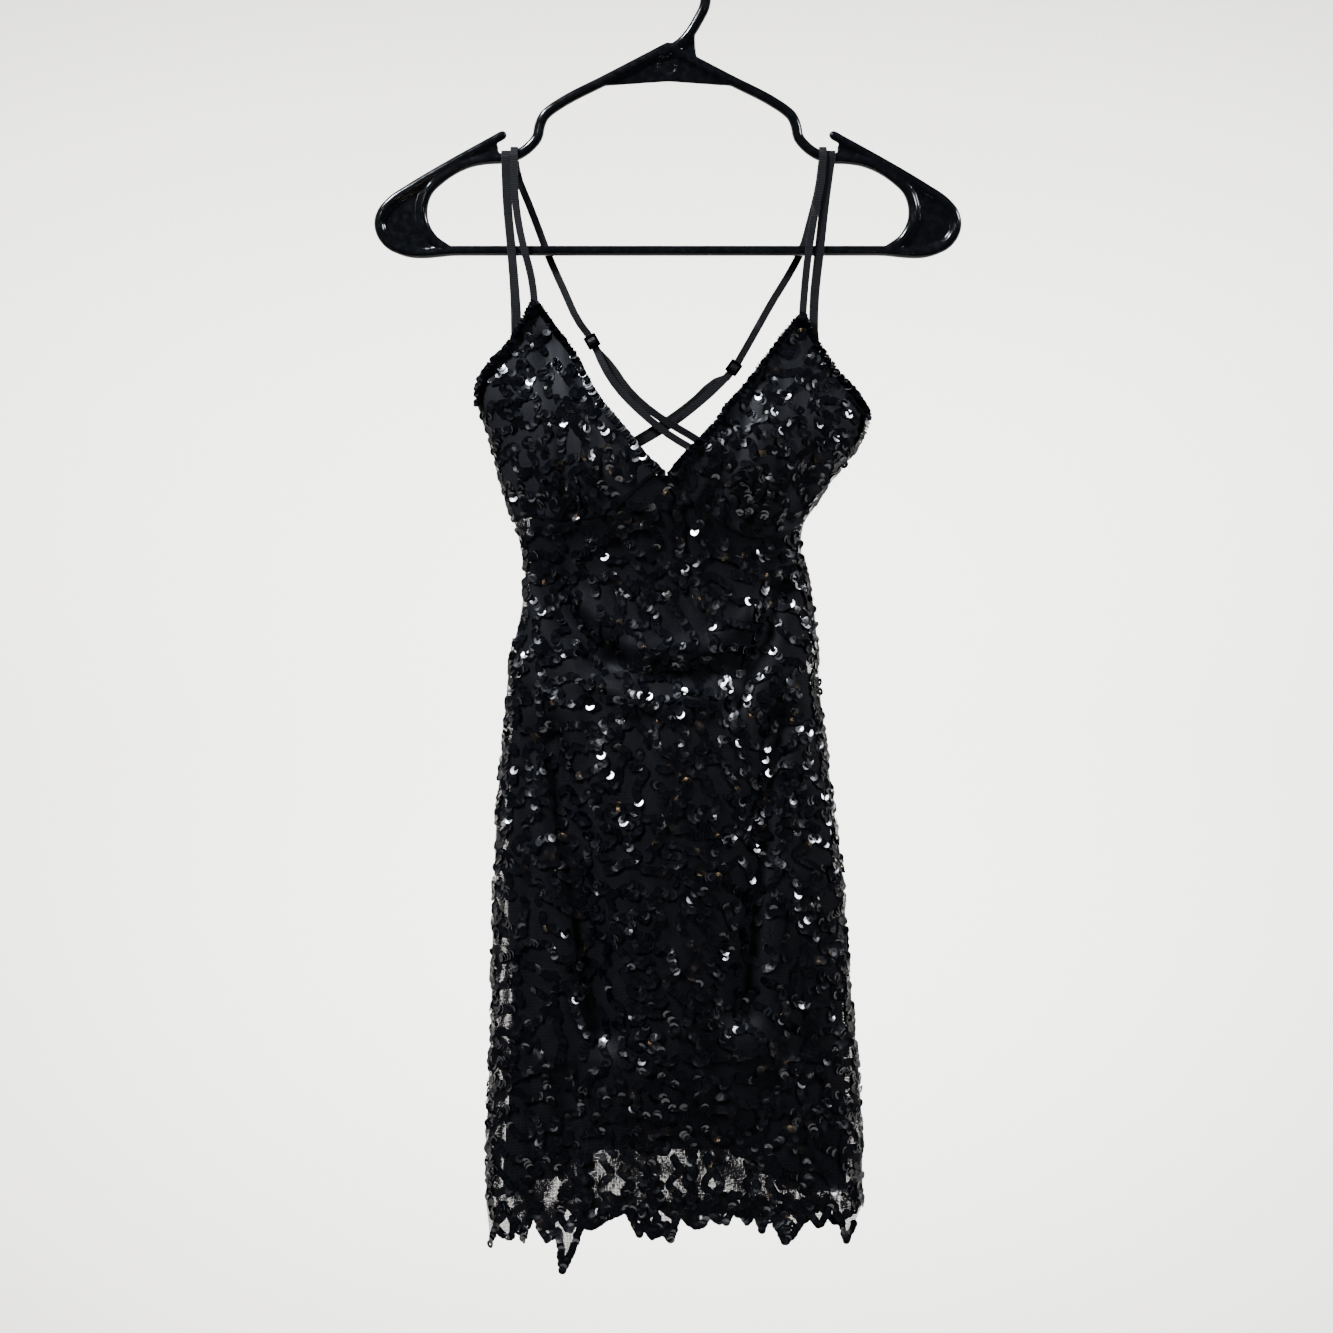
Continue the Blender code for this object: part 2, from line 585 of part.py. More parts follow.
def build_slider(strap, at, ahead, across_it):
    """A flat figure of eight: three bars across the strap and two along its sides."""
    half = STRAP_WIDTH / 2 + GAP + WIRE + 0.15
    xs = [-half - WIRE, -half + WIRE, half - WIRE, half + WIRE]
    ss = [-PITCH - WIRE, -PITCH + WIRE, -WIRE, WIRE, PITCH - WIRE, PITCH + WIRE]
    open_cells = {(1, 1), (1, 3)}
    points = []
    for y in (-WIRE, WIRE):
        points += [at + across_it * x + ahead * s + np.array([0, y, 0]) for s in ss for x in xs]

    def corner(i, j, layer):
        return layer * len(xs) * len(ss) + j * len(xs) + i

    faces = []
    cells = {(i, j) for i in range(3) for j in range(5)} - open_cells
    for i, j in sorted(cells):
        square = [(i, j), (i + 1, j), (i + 1, j + 1), (i, j + 1)]
        faces += [tuple(corner(*c, 0) for c in square), tuple(corner(*c, 1) for c in square[::-1])]
        beside = [(i, j - 1), (i + 1, j), (i, j + 1), (i - 1, j)]
        for k, other in enumerate(beside):
            if other not in cells:
                a, b = square[k], square[(k + 1) % 4]
                faces.append((corner(*a, 0), corner(*a, 1), corner(*b, 1), corner(*b, 0)))
    ring = solid(strap.name + "_slider", points, faces, rgb=(0.01, 0.01, 0.012), rough=0.2)
    soft = ring.modifiers.new("soft edges", "BEVEL")
    soft.width, soft.segments, soft.limit_method = 0.3 * MM, 1, "ANGLE"


def join(obj, others):
    """Unites closed solids into the first one and removes the rest."""
    for other in others:
        union = obj.modifiers.new("join", "BOOLEAN")
        union.operation = "UNION"
        union.solver = "EXACT"
        union.object = other
        bpy.context.view_layer.update()
        graph = bpy.context.evaluated_depsgraph_get()
        mesh = bpy.data.meshes.new_from_object(obj.evaluated_get(graph))
        obj.modifiers.clear()
        obj.data = mesh
        bpy.data.objects.remove(other)


Ribbon = namedtuple("Ribbon", "name notch front_leg back_leg")
RIBBONS = [
    Ribbon(
        "left",
        -115.9,
        [
            Bead(-119, -3, -334), Bead(-112, -4, -290), Bead(-108, -4.3, -261), Bead(-109.6, -4.5, -230),
            Bead(-111.6, -4.5, -206.8), Bead(-115.2, -4.6, -165),
        ],
        [
            Bead(-115.4, 4.6, -165), Bead(-112, 4.5, -206.8), Bead(-110, 4.5, -235), Bead(-110.4, 4, -290),
            Bead(-117.4, 3, -334),
        ],
    ),
    Ribbon(
        "right",
        116.6,
        [
            Bead(121, -3, -346), Bead(110, -4, -300), Bead(104.2, -4.3, -264.7), Bead(104.6, -4.5, -243),
            Bead(108.4, -4.5, -206.8), Bead(112.4, -4.6, -170),
        ],
        [
            Bead(112.2, 4.6, -170), Bead(108.2, 4.5, -206.8), Bead(104.6, 4.5, -243), Bead(106.4, 4, -290),
            Bead(119.6, 3, -346),
        ],
    ),
]


def build_ribbon(ribbon):
    arch = over_tube(ribbon.notch, RIBBON_NOTCH_Z, TUBE + 1.5, 9)
    front_leg, back_leg = fine([*ribbon.front_leg, arch[0]], 14), fine([arch[-1], *ribbon.back_leg], 14)
    path = np.concatenate([front_leg, arch[1:-1], back_leg])
    swept(
        ribbon.name + "_hanger_loop", path, oblong(RIBBON_WIDTH, RIBBON), (1, 0, 0), rgb=(0.01, 0.01, 0.011)
    )


# Hanger
ARM = [  # from the lower bar round the end opening, over the notch and up to the hook
    Point(-157, -206), Point(-168.5, -197.5), Point(-175, -185.5), Point(-175.6, -175),
    Point(-171.5, -163), Point(-163.5, -155), Point(-140, -142.3), Point(-125, -140.2),
    Point(-116, -139.8), Point(-109.9, -138.4), Point(-103.6, -135.2), Point(-97.2, -129.8),
    Point(-93.3, -124.6), Point(-91.8, -117), Point(-88.6, -109.6), Point(-83, -104.6), Point(-76, -100),
    Point(-45, -84), Point(-18, -70), Point(0, -60.6),
]
LOBE = [  # the bar's end, round the outer edge and up the finger to its free tip
    Point(-150, -206), Point(-190, -205.5), Point(-199, -201), Point(-205, -193), Point(-206.4, -186),
    Point(-204, -178), Point(-198.5, -171.5), Point(-184, -161.5), Point(-165, -150), Point(-150, -141.2),
    Point(-130, -129.9), Point(-118.5, -123.4),
]
CENTRE_WEB = [
    Point(-47, -88.3), Point(0, -85), Point(47, -88.3), Point(24, -74), Point(0, -62), Point(-24, -74),
]
HOOK_WEB = [  # between the hook's stem and the right arm
    Point(6, -60), Point(19, -48), Point(20.6, -70), Point(4, -64),
]
LOBE_WEB = [  # between the end's rim and its opening, with the notch's wall at the finger's root
    Point(-184, -205), Point(-199, -200), Point(-205, -188), Point(-199, -173), Point(-165, -151),
    Point(-124, -127.5), Point(-121.4, -131), Point(-120.6, -139), Point(-140, -142.3),
    Point(-163, -155.5), Point(-171.5, -163), Point(-175.4, -175), Point(-174.6, -186),
    Point(-168, -197.5), Point(-157, -205),
]
HOOK_STEM = [Point(-4, -64.5), Point(8, -58.5), Point(16, -50), Point(22, -40)]


def flat_line(points, mirror=1):
    return [(mirror * p.x, 0, p.z) for p in points]


def plate(name, outline, mirror=1, thickness=WEB):
    """A flat web with its outline in the hanger's plane."""
    flat = [(mirror * p.x, p.z) for p in outline]
    front_side = [(x, -thickness / 2, z) for x, z in flat]
    back_side = [(x, thickness / 2, z) for x, z in flat]
    count = len(flat)
    faces = [tuple(range(count)), tuple(range(count, 2 * count))[::-1]]
    faces += [(i, i + count, (i + 1) % count + count, (i + 1) % count) for i in range(count)]
    return solid(name, front_side + back_side, faces)


def build_hanger():
    """The moulded tube, its filled ends and centre, and the hook."""
    tube = disc(TUBE)
    look = dict(rgb=(0.008, 0.008, 0.01), rough=0.12)
    left, right = along(flat_line(LOBE), 19), along(flat_line(LOBE, -1), 19)
    loop = np.concatenate([left[::-1], right])
    hanger = swept("hanger", loop, tube, (0, 1, 0), **look)
    parts = []
    for mirror, side in ((1, "left"), (-1, "right")):
        path = along([*flat_line(ARM, mirror)], 24)
        path = np.concatenate([[path[0] + (4 * mirror, 0, -0.6)], path])
        parts.append(swept("arm_" + side, path, tube, (0, 1, 0)))
    parts.append(plate("web", CENTRE_WEB))
    parts.append(plate("hook_web", HOOK_WEB))
    for mirror, side in ((1, "left"), (-1, "right")):
        parts.append(plate("web_" + side, LOBE_WEB, mirror))
    turn = np.linspace(np.radians(-22), np.radians(192), 16)
    hook = [(HOOK_RADIUS * np.cos(a), 0, -(HOOK_RADIUS - TUBE) + HOOK_RADIUS * np.sin(a)) for a in turn]
    stem = along(flat_line(HOOK_STEM), 7)
    parts.append(swept("hook", np.concatenate([stem, hook]), tube, (0, 1, 0)))
    join(hanger, parts)


def main():
    for obj in list(bpy.data.objects):
        bpy.data.objects.remove(obj)
    build_hanger()
    for cup in CUPS:
        build_cup(cup)
        inward = 1 if cup.name == "left" else -1
        build_trim(cup.name + "_neck_trim", cup.neckline, cup.armhole, inward, 22)
        build_trim(cup.name + "_armhole_trim", cup.armhole, cup.neckline, -inward, 15)
    panel("front_panel", front, NET, UNDER_BUST, FRONT_HEM, FRONT_LEVELS, -1, 7.2)
    panel("back_panel", back, NET, BACK_NECK, BACK_HEM, levels((-400, -880, 12)), 1, 12)
    inside_front = lining_surface(front, LINING_SIDES, -1)
    inside_back = lining_surface(back, LINING_SIDES, 1)
    top = [Point(x, LINING_TOP) for x in (-150, 0, 150)]
    panel("front_lining", inside_front, LINING, top, LINING_HEM, FRONT_LEVELS[1:-2], -1, 12, 1)
    panel("back_lining", inside_back, LINING, top, BACK_LINING_HEM, levels((-440, -840, 10)), 1, 12, 1)
    for strap in STRAPS:
        build_strap(strap)
    for ribbon in RIBBONS:
        build_ribbon(ribbon)


main()
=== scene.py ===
"""Looks of a sequinned slip dress on a clothes hanger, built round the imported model.

The cloth pieces follow the same surfaces as the solids: body sections and folds in tables, in millimetres,
with the front towards -Y and +Z up. Sequins are sewn along wandering lines that are worked out on the cloth.
"""

from __future__ import annotations

from __future__ import annotations

import logging
import math
from dataclasses import dataclass, field
from enum import Enum
from functools import partial
from typing import Any, Callable, Iterator, Sequence

import bmesh
import bpy
import numpy as np
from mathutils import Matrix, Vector

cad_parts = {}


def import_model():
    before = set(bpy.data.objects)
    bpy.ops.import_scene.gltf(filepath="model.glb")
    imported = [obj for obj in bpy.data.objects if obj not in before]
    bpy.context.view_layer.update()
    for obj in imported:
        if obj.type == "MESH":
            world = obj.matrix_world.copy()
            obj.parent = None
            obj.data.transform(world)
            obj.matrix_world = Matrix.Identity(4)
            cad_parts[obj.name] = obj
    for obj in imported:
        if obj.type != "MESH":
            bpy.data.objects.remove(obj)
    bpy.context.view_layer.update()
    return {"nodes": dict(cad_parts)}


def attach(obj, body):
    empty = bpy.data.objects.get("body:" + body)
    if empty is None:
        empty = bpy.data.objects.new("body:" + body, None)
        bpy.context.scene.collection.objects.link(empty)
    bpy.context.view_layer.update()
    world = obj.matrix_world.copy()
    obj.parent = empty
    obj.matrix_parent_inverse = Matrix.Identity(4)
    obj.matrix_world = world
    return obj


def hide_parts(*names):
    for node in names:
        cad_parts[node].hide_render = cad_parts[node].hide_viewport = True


log = logging.getLogger("slip_dress")

MM = 0.001
Array = np.ndarray
Line = Sequence[tuple[float, float]]
Surface = Callable[[Array, Array], Array]
Faces = list[tuple[int, ...]]
Object, Material, Tree = bpy.types.Object, bpy.types.Material, bpy.types.NodeTree


# Measures shared with the solids, in millimetres
@dataclass(frozen=True)
class Section:
    """One height of the body: the side seams, and how far the cloth stands out before and behind."""

    z: float
    left: float
    right: float
    front: float = 0.0
    back: float = 0.0


BODY = (
    Section(-240, -140, 146, 9.5, 9),
    Section(-262, -140, 146, 14, 11),
    Section(-301, -139, 146, 23, 14),
    Section(-315, -137.5, 146, 25, 15),
    Section(-328, -132, 144, 27, 16),
    Section(-346, -126.6, 136.5, 29, 17),
    Section(-366, -121.5, 121, 29, 18),
    Section(-383, -117, 108.5, 27, 18),
    Section(-399, -110.9, 98.5, 25, 18),
    Section(-416, -105, 95.5, 22, 17),
    Section(-435, -102.8, 99, 21, 17),
    Section(-462, -105, 105, 23, 18),
    Section(-500, -113.5, 107.5, 27, 21),
    Section(-550, -117.5, 112, 32, 25),
    Section(-600, -122.5, 118.5, 35, 28),
    Section(-650, -124.5, 125, 37, 30),
    Section(-700, -126, 128.5, 38, 30),
    Section(-750, -126.8, 132.5, 38, 30),
    Section(-800, -128.5, 137.5, 38, 30),
    Section(-860, -130.2, 139.5, 37, 29),
    Section(-945, -130.2, 139.8, 36, 28),
)


# The lining, narrower than the net, stands out as far as the net allows
LINING = (
    Section(-420, -97, 88),
    Section(-500, -104, 99),
    Section(-540, -109, 105),
    Section(-604, -113, 114),
    Section(-690, -114, 122),
    Section(-736, -111.5, 124.5),
    Section(-810, -113.5, 126),
    Section(-860, -117.5, 127.5),
    Section(-945, -117.5, 127.5),
)


@dataclass(frozen=True)
class Fold:
    """A fold along a path in the front plane; a ridge has a depth below nothing."""

    width: float
    depth: float
    path: Line


FRONT_FOLDS = (
    Fold(11, 8.0, ((-87, -441), (-76, -463), (-59, -483), (-46, -503))),
    Fold(11, 8.0, ((80, -453), (69, -481), (60, -506), (49, -527))),
    Fold(9, -4.0, ((-62, -462), (-30, -487), (0, -494), (30, -490), (58, -468))),
    Fold(8, 3.0, ((-40, -500), (-12, -512), (18, -513), (42, -505))),
    Fold(9, -4.0, ((-50, -512), (-20, -530), (12, -533), (46, -522))),
    Fold(12, 11.0, ((-84, -556), (-76, -590), (-69, -623), (-63, -670), (-46, -762))),
    Fold(12, 11.0, ((78, -545), (69, -605), (64, -652), (60, -689), (53, -748))),
    Fold(32, -6.0, ((-2, -560), (2, -640), (6, -740), (6, -800))),
    Fold(6, 3.0, ((-102, -525), (-97, -690), (-96, -890))),
    Fold(6, 3.0, ((94, -585), (94, -740), (95, -890))),
    Fold(11, 5.0, ((-72, -800), (-76, -890))),
    Fold(11, 5.0, ((68, -800), (70, -890))),
    Fold(30, -8.0, ((-78, -325), (-66, -362))),
    Fold(30, -8.0, ((84, -330), (66, -372))),
    Fold(8, 4.0, ((-86, -274), (-77, -327), (-71, -366), (-66, -392))),
    Fold(8, 4.0, ((81, -300), (84, -341), (70, -375), (56, -398))),
    Fold(7, 2.5, ((-103, -300), (-98, -345), (-92, -388))),
    Fold(7, 2.5, ((-62, -300), (-50, -345), (-44, -388))),
    Fold(7, 2.5, ((108, -310), (104, -350), (88, -400))),
    Fold(7, 2.5, ((58, -310), (50, -352), (32, -388))),
)
BACK_FOLDS = (
    Fold(14, 7.0, ((-66, -450), (-60, -560), (-56, -700))),
    Fold(14, 7.0, ((62, -450), (60, -570), (58, -720))),
    Fold(16, 5.0, ((0, -600), (4, -720), (8, -860))),
    Fold(12, 5.0, ((-80, -760), (-84, -880))),
    Fold(12, 5.0, ((84, -760), (88, -880))),
)

UNDER_BUST = (
    (-140, -398), (-95, -398.5), (-71, -400.5), (-51.5, -398.5), (-37, -391), (-24, -380.5), (-12, -370.5),
    (-1, -367.6), (8.6, -375), (16.5, -385), (25, -393.5), (34.3, -400), (45, -407.5), (73.7, -412), (84, -409),
    (97, -401.5), (140, -400),
)
BACK_NECK = (
    (-140, -314), (-126, -338), (-100, -361), (-60, -375), (0, -380), (60, -377), (100, -368), (124, -355),
    (140, -338), (150, -330),
)
FRONT_HEM = (
    (-130, -886.7), (-126.5, -918.7), (-122.3, -904), (-118, -909.5), (-110.5, -910.8), (-108.5, -896.8),
    (-102.5, -912.2), (-95.2, -889.1), (-90, -903.7), (-85, -911.3), (-77, -904.1), (-74.3, -932.7),
    (-68, -918.7), (-60.5, -899.7), (-52.5, -901), (-45, -895.9), (-40, -883.6), (-36, -891.4),
    (-29.5, -887.9), (-20, -905.5), (-17.5, -897.6), (-11.5, -907.5), (-3.5, -903.5), (2, -909.9),
    (8, -887.7), (14.3, -897.6), (20.8, -900.1), (25.5, -898.6), (27.5, -882.4), (32.2, -894.2),
    (40.8, -897.7), (46.5, -883), (51, -890.5), (55.8, -897.4), (60.8, -890.6), (66.5, -904.1),
    (71, -885.9), (77, -899.9), (83, -912.9), (93.5, -900.4), (96, -885.2), (105, -900.9), (108.8, -900.2),
    (116, -886.2), (121.5, -897.5), (126.7, -913.4), (133, -900.2), (139.6, -886.7),
)
BACK_HEM = (
    (-130, -888), (-124, -908), (-116, -897), (-106, -911), (-95, -896), (-84, -908), (-73, -894), (-62, -906),
    (-51, -893), (-41, -904), (-29, -893), (-18, -907), (-6, -895), (5, -906), (17, -893), (28, -904), (39, -892),
    (51, -903), (62, -893), (74, -906), (86, -896), (97, -907), (109, -894), (120, -906), (131, -898),
    (139.6, -888),
)


@dataclass(frozen=True)
class HemGap:
    """An oval of clear net above the hem, as the photo shows it."""

    x: float
    z: float
    half_width: float
    half_height: float


HEM_GAPS = (HemGap(-84, -880, 7, 15), HemGap(111, -878, 5.5, 8), HemGap(126, -885, 5.5, 10))
# Where single lines of sequins run down the clear net below the lining's hem
HEM_VEINS = (-59, -44, -29, -16, -9, 5, 17, 29, 36, 57, 62, 75)
LINING_HEM = (
    (-118, -876), (-98, -869.9), (-80, -866.3), (-71, -857.1), (-59, -846), (0, -843.6), (64, -846),
    (66, -854.9), (75, -863.9), (80, -873.9), (128, -878.1),
)
BACK_LINING_HEM = (
    (-118, -876), (-80, -869), (-50, -853), (0, -850.5), (50, -853), (80, -869), (128, -878),
)


@dataclass(frozen=True)
class CupEdges:
    """A cup's outline: the ends of its side seam, and its armhole and neckline, both up to the cup's point.

    Between two shares of the neckline's length, called calm, its sequins turn to face out.
    """

    name: str
    side: int
    seam_foot: float
    seam_top: float
    calm: tuple[float, float] | None
    armhole: Line
    neckline: Line


CUPS = (
    CupEdges(
        "left", -1, -398.5, -315, (0.26, 0.93),
        armhole=(
            (-137.2, -315), (-135.9, -301.2), (-126.6, -286.2), (-115.2, -274), (-108.8, -263.3),
            (-101.6, -251.1), (-97.8, -243.6),
        ),
        neckline=(
            (-1.8, -366), (-12.9, -355.6), (-29.3, -335.6), (-47.9, -312.7), (-66.5, -279), (-80, -260),
            (-91.6, -243.6),
        ),
    ),
    CupEdges(
        "right", 1, -401.0, -339, None,
        armhole=(
            (139, -339), (143.6, -325), (135.2, -309.1), (120.2, -291.9), (107.3, -271.9), (99.8, -256),
            (99, -252.4),
        ),
        neckline=(
            (-0.2, -366), (13.5, -350), (24.4, -340), (34.1, -328.8), (42.8, -316), (55.8, -301),
            (68.9, -283.5), (81.8, -266), (88, -258.5), (93, -252.4),
        ),
    ),
)

# Seams between cups, bodies and linings: gap, allowance under the cups, the V's point and what covers it,
# and how far the lining lies behind the net where it is sewn, where it hangs free, and over what height it eases
SEAM_GAP = 0.35
SEAM_ALLOWANCE = 3.5
V_POINT = -366.0
V_COVER = 2.0
LINING_TOP = -420.0
LINING_SEWN = 1.5
LINING_FREE = 4.6
LINING_EASE = 30.0


# Curves, tables and meshes
def smooth(xs: Sequence[float], ys: Sequence[float], x: Array) -> Array:
    """Read the smooth curve through a table.

    Args:
        xs: Places in the table, rising or falling.
        ys: Values there.
        x: Places wanted.

    Returns:
        The values at x, level beyond the table's ends.
    """
    px, py = np.asarray(xs, float), np.asarray(ys, float)
    if px[0] > px[-1]:
        px, py = px[::-1], py[::-1]
    x = np.clip(x, px[0], px[-1])
    slope = np.gradient(py, px)
    i = np.clip(np.searchsorted(px, x, side="right") - 1, 0, len(px) - 2)
    h = px[i + 1] - px[i]
    t = (x - px[i]) / h
    return (
        (1 + 2 * t) * (1 - t) ** 2 * py[i]
        + t * (1 - t) ** 2 * h * slope[i]
        + t * t * (3 - 2 * t) * py[i + 1]
        + t * t * (t - 1) * h * slope[i + 1]
    )


def read(table: Sequence[Any], name: str, z: Array) -> Array:
    """Values of one named column of a table of sections at heights z."""
    return smooth([row.z for row in table], [getattr(row, name) for row in table], z)


def edge_height(edge: Line, x: Array, straight: bool = False) -> Array:
    """Height of an edge above each x, on the smooth curve or on straight stretches through its points."""
    xs, zs = [p[0] for p in edge], [p[1] for p in edge]
    return np.interp(x, xs, zs) if straight else smooth(xs, zs, x)


def tucked(edge: Line, x: Array) -> Array:
    """Height of a top edge whose seam allowance lies under the cups, and ends below the point of the V."""
    return np.minimum(edge_height(edge, x) + SEAM_ALLOWANCE, V_POINT - V_COVER)


def along(points: Array, count: int) -> Array:
    """Points spread evenly along the smooth line through the given points.

    Args:
        points: The line's own points, a row each.
        count: How many points are wanted.

    Returns:
        An array of count rows.
    """
    points = np.asarray(points, float)
    run = np.r_[0, np.cumsum(np.linalg.norm(np.diff(points, axis=0), axis=1))]
    wanted = np.linspace(0, run[-1], count)
    return np.stack([smooth(run, points[:, axis], wanted) for axis in range(points.shape[1])], axis=1)


def length_of(points: Array) -> float:
    """Length of a line of points."""
    return float(np.linalg.norm(np.diff(np.asarray(points, float), axis=0), axis=1).sum())


def even(line: Array, pitch: float) -> Array:
    """Spread points along the straight stretches of a line.

    Args:
        line: The line's own points, (x, z).
        pitch: How far apart the new ones are.

    Returns:
        The new points.
    """
    run = np.r_[0, np.cumsum(np.linalg.norm(np.diff(line, axis=0), axis=1))]
    wanted = np.arange(pitch / 2, run[-1], pitch)
    return np.stack([np.interp(wanted, run, line[:, k]) for k in (0, 1)], axis=1)


def distance_to(path: Line, x: Array, z: Array) -> Array:
    """How far each point lies from a path in the front plane.

    Args:
        path: The path's own points, (x, z).
        x: Places across.
        z: Heights.

    Returns:
        The distances.
    """
    best = np.full(np.shape(x), np.inf)
    for (ax, az), (bx, bz) in zip(path[:-1], path[1:]):
        run = (bx - ax) ** 2 + (bz - az) ** 2
        t = np.clip(((x - ax) * (bx - ax) + (z - az) * (bz - az)) / max(run, 1e-9), 0, 1)
        best = np.minimum(best, np.hypot(x - ax - t * (bx - ax), z - az - t * (bz - az)))
    return best


def inside(outline: Array, x: Array, z: Array) -> Array:
    """Whether each point lies inside a closed outline.

    Args:
        outline: The outline's own points, (x, z).
        x: Places across.
        z: Heights.

    Returns:
        True or false for each point.
    """
    hit = np.zeros(np.shape(x), bool)
    for (ax, az), (bx, bz) in zip(outline, np.roll(outline, -1, axis=0)):
        crosses = (az > z) != (bz > z)
        reach = ax + (z - az) * (bx - ax) / (bz - az if abs(bz - az) > 1e-9 else 1e-9)
        hit ^= crosses & (x < reach)
    return hit


def unit(vectors: Array) -> Array:
    """Vectors of length one."""
    return vectors / np.maximum(np.linalg.norm(vectors, axis=-1, keepdims=True), 1e-12)


def grid_faces(rows: int, columns: int) -> Array:
    """Join a grid of points that are counted row by row.

    Args:
        rows: How many rows it has.
        columns: How many points a row has.

    Returns:
        Its four-cornered faces.
    """
    i, j = np.meshgrid(np.arange(rows - 1), np.arange(columns - 1), indexing="ij")
    a = i * columns + j
    return np.stack([a, a + 1, a + columns + 1, a + columns], axis=-1).reshape(-1, 4)


def make_mesh(name: str, points: Array, faces: Array, uv: Array | None = None) -> Object:
    """Build one smooth-shaded object.

    Args:
        name: Its name.
        points: Its points in millimetres.
        faces: Its faces, all with the same number of corners.
        uv: A place on the flat cloth in metres for each point, or nothing.

    Returns:
        The new object, in the scene.
    """
    mesh = bpy.data.meshes.new(name)
    corners = faces.shape[1]
    mesh.vertices.add(len(points))
    mesh.vertices.foreach_set("co", (np.asarray(points, float) * MM).ravel())
    mesh.loops.add(faces.size)
    mesh.loops.foreach_set("vertex_index", faces.ravel().astype(np.int32))
    mesh.polygons.add(len(faces))
    mesh.polygons.foreach_set("loop_start", np.arange(0, faces.size, corners, dtype=np.int32))
    mesh.update(calc_edges=True)
    mesh.polygons.foreach_set("use_smooth", np.ones(len(faces), bool))
    if uv is not None:
        layer = mesh.uv_layers.new(name="cloth")
        layer.data.foreach_set("uv", uv[faces.ravel()].ravel())
    mesh.validate()
    obj = bpy.data.objects.new(name, mesh)
    bpy.context.scene.collection.objects.link(obj)
    return obj


def dress(obj: Object, material: Material) -> None:
    """Give an object one material and no other."""
    obj.data.materials.clear()
    obj.data.materials.append(material)


def enrol(obj: Object, material: Material, slot: str, *nodes: str) -> Object:
    """Dress a piece, hang it from the root body and hide the solids that it stands for.

    Args:
        obj: The piece.
        material: Its finish.
        slot: Not used.
        nodes: The solids that it stands for.

    Returns:
        The same piece.
    """
    dress(obj, material)
    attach(obj, "root")
    if nodes:
        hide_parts(*nodes)
    return obj


# The dress's form
class Side(Enum):
    """Which half of the dress a cloth belongs to."""

    FRONT = -1
    BACK = 1


@dataclass(frozen=True)
class DressForm:
    """The surfaces that the cloth hangs in, as in the solids, with finer wrinkles for the looks."""

    roundness: float = 2.3
    fullness: float = 0.55
    wrinkle: float = 0.55
    seam_calm: int = 6
    lining_shoulder: float = 0.8
    thinnest: float = 0.2

    def middle(self, z: Array) -> tuple[Array, Array]:
        """Centre and half-width of the body at heights z."""
        left, right = read(BODY, "left", z), read(BODY, "right", z)
        return (left + right) / 2, (right - left) / 2

    def across(self, u: Array) -> Array:
        """How far the cloth stands out at u, from 1 in the middle to 0 at the side seams."""
        return (1 - np.abs(np.clip(u, -1, 1)) ** self.roundness) ** self.fullness

    def folds(self, table: Sequence[Fold], x: Array, z: Array, u: Array) -> Array:
        """How far the folds and wrinkles sink at each point, fading out towards the side seams.

        Args:
            table: The folds.
            x: Places across, in millimetres.
            z: Heights.
            u: Places across, from -1 to 1.

        Returns:
            The depths.
        """
        total = sum(f.depth * np.exp(-((distance_to(f.path, x, z) / f.width) ** 2)) for f in table)
        # Two wrinkles cross: one drifts and swells along the height, the finer one runs straight down
        fine = np.sin(x / 5.1 + 1.7 * np.sin(z / 61)) * np.sin(z / 37 + x / 23) + 0.6 * np.sin(x / 3.3 - z / 90)
        return (total + self.wrinkle * fine) * (1 - np.abs(np.clip(u, -1, 1)) ** self.seam_calm)

    def surface(self, side: Side) -> Surface:
        """The outer face of the front or back.

        Args:
            side: Which of the two.

        Returns:
            A function of u, from -1 to 1 across, and height.
        """
        name, table = ("front", FRONT_FOLDS) if side is Side.FRONT else ("back", BACK_FOLDS)

        def point(u: Array, z: Array) -> Array:
            """Work out points of the net.

            Args:
                u: Places across.
                z: Heights.

            Returns:
                The points, in millimetres.
            """
            u, z = np.broadcast_arrays(np.asarray(u, float), np.asarray(z, float))
            centre, half = self.middle(z)
            x = centre + half * u
            out = read(BODY, name, z) * self.across(u) - self.folds(table, x, z, u) + SEAM_GAP / 2
            return np.stack([x, side.value * np.maximum(out, SEAM_GAP / 2), z], axis=-1)

        return point

    def lining(self, side: Side) -> Surface:
        """The lining's outer face, drawn in from the net's, with narrower side seams.

        Args:
            side: Front or back.

        Returns:
            A function of the place across the lining, from -1 to 1, and height.
        """
        outer = self.surface(side)

        def point(v: Array, z: Array) -> Array:
            """Work out points of the lining.

            Args:
                v: Places across.
                z: Heights.

            Returns:
                The points, in millimetres.
            """
            v, z = np.broadcast_arrays(np.asarray(v, float), np.asarray(z, float))
            left, right = read(LINING, "left", z), read(LINING, "right", z)
            x = (left + right) / 2 + (right - left) / 2 * v
            centre, half = self.middle(z)
            free = np.clip((LINING_TOP - z) / LINING_EASE, 0, 1)
            inset = LINING_SEWN + (LINING_FREE - LINING_SEWN) * free
            depth = np.abs(outer((x - centre) / half, z)[..., 1]) - inset
            reach = self.across(v) / np.maximum(self.across(self.lining_shoulder * v), self.thinnest)
            out = np.maximum(depth * np.minimum(reach, 1), 0) + SEAM_GAP / 2
            return np.stack([x, side.value * out, z], axis=-1)

        return point

    def place(self, x: Array, z: Array) -> Array:
        """The u of points of the front plane."""
        centre, half = self.middle(z)
        return np.clip((x - centre) / half, -1, 1)


# How far apart a surface is read to find the way it faces
STEP_ACROSS = 0.004
STEP_DOWN = 0.5


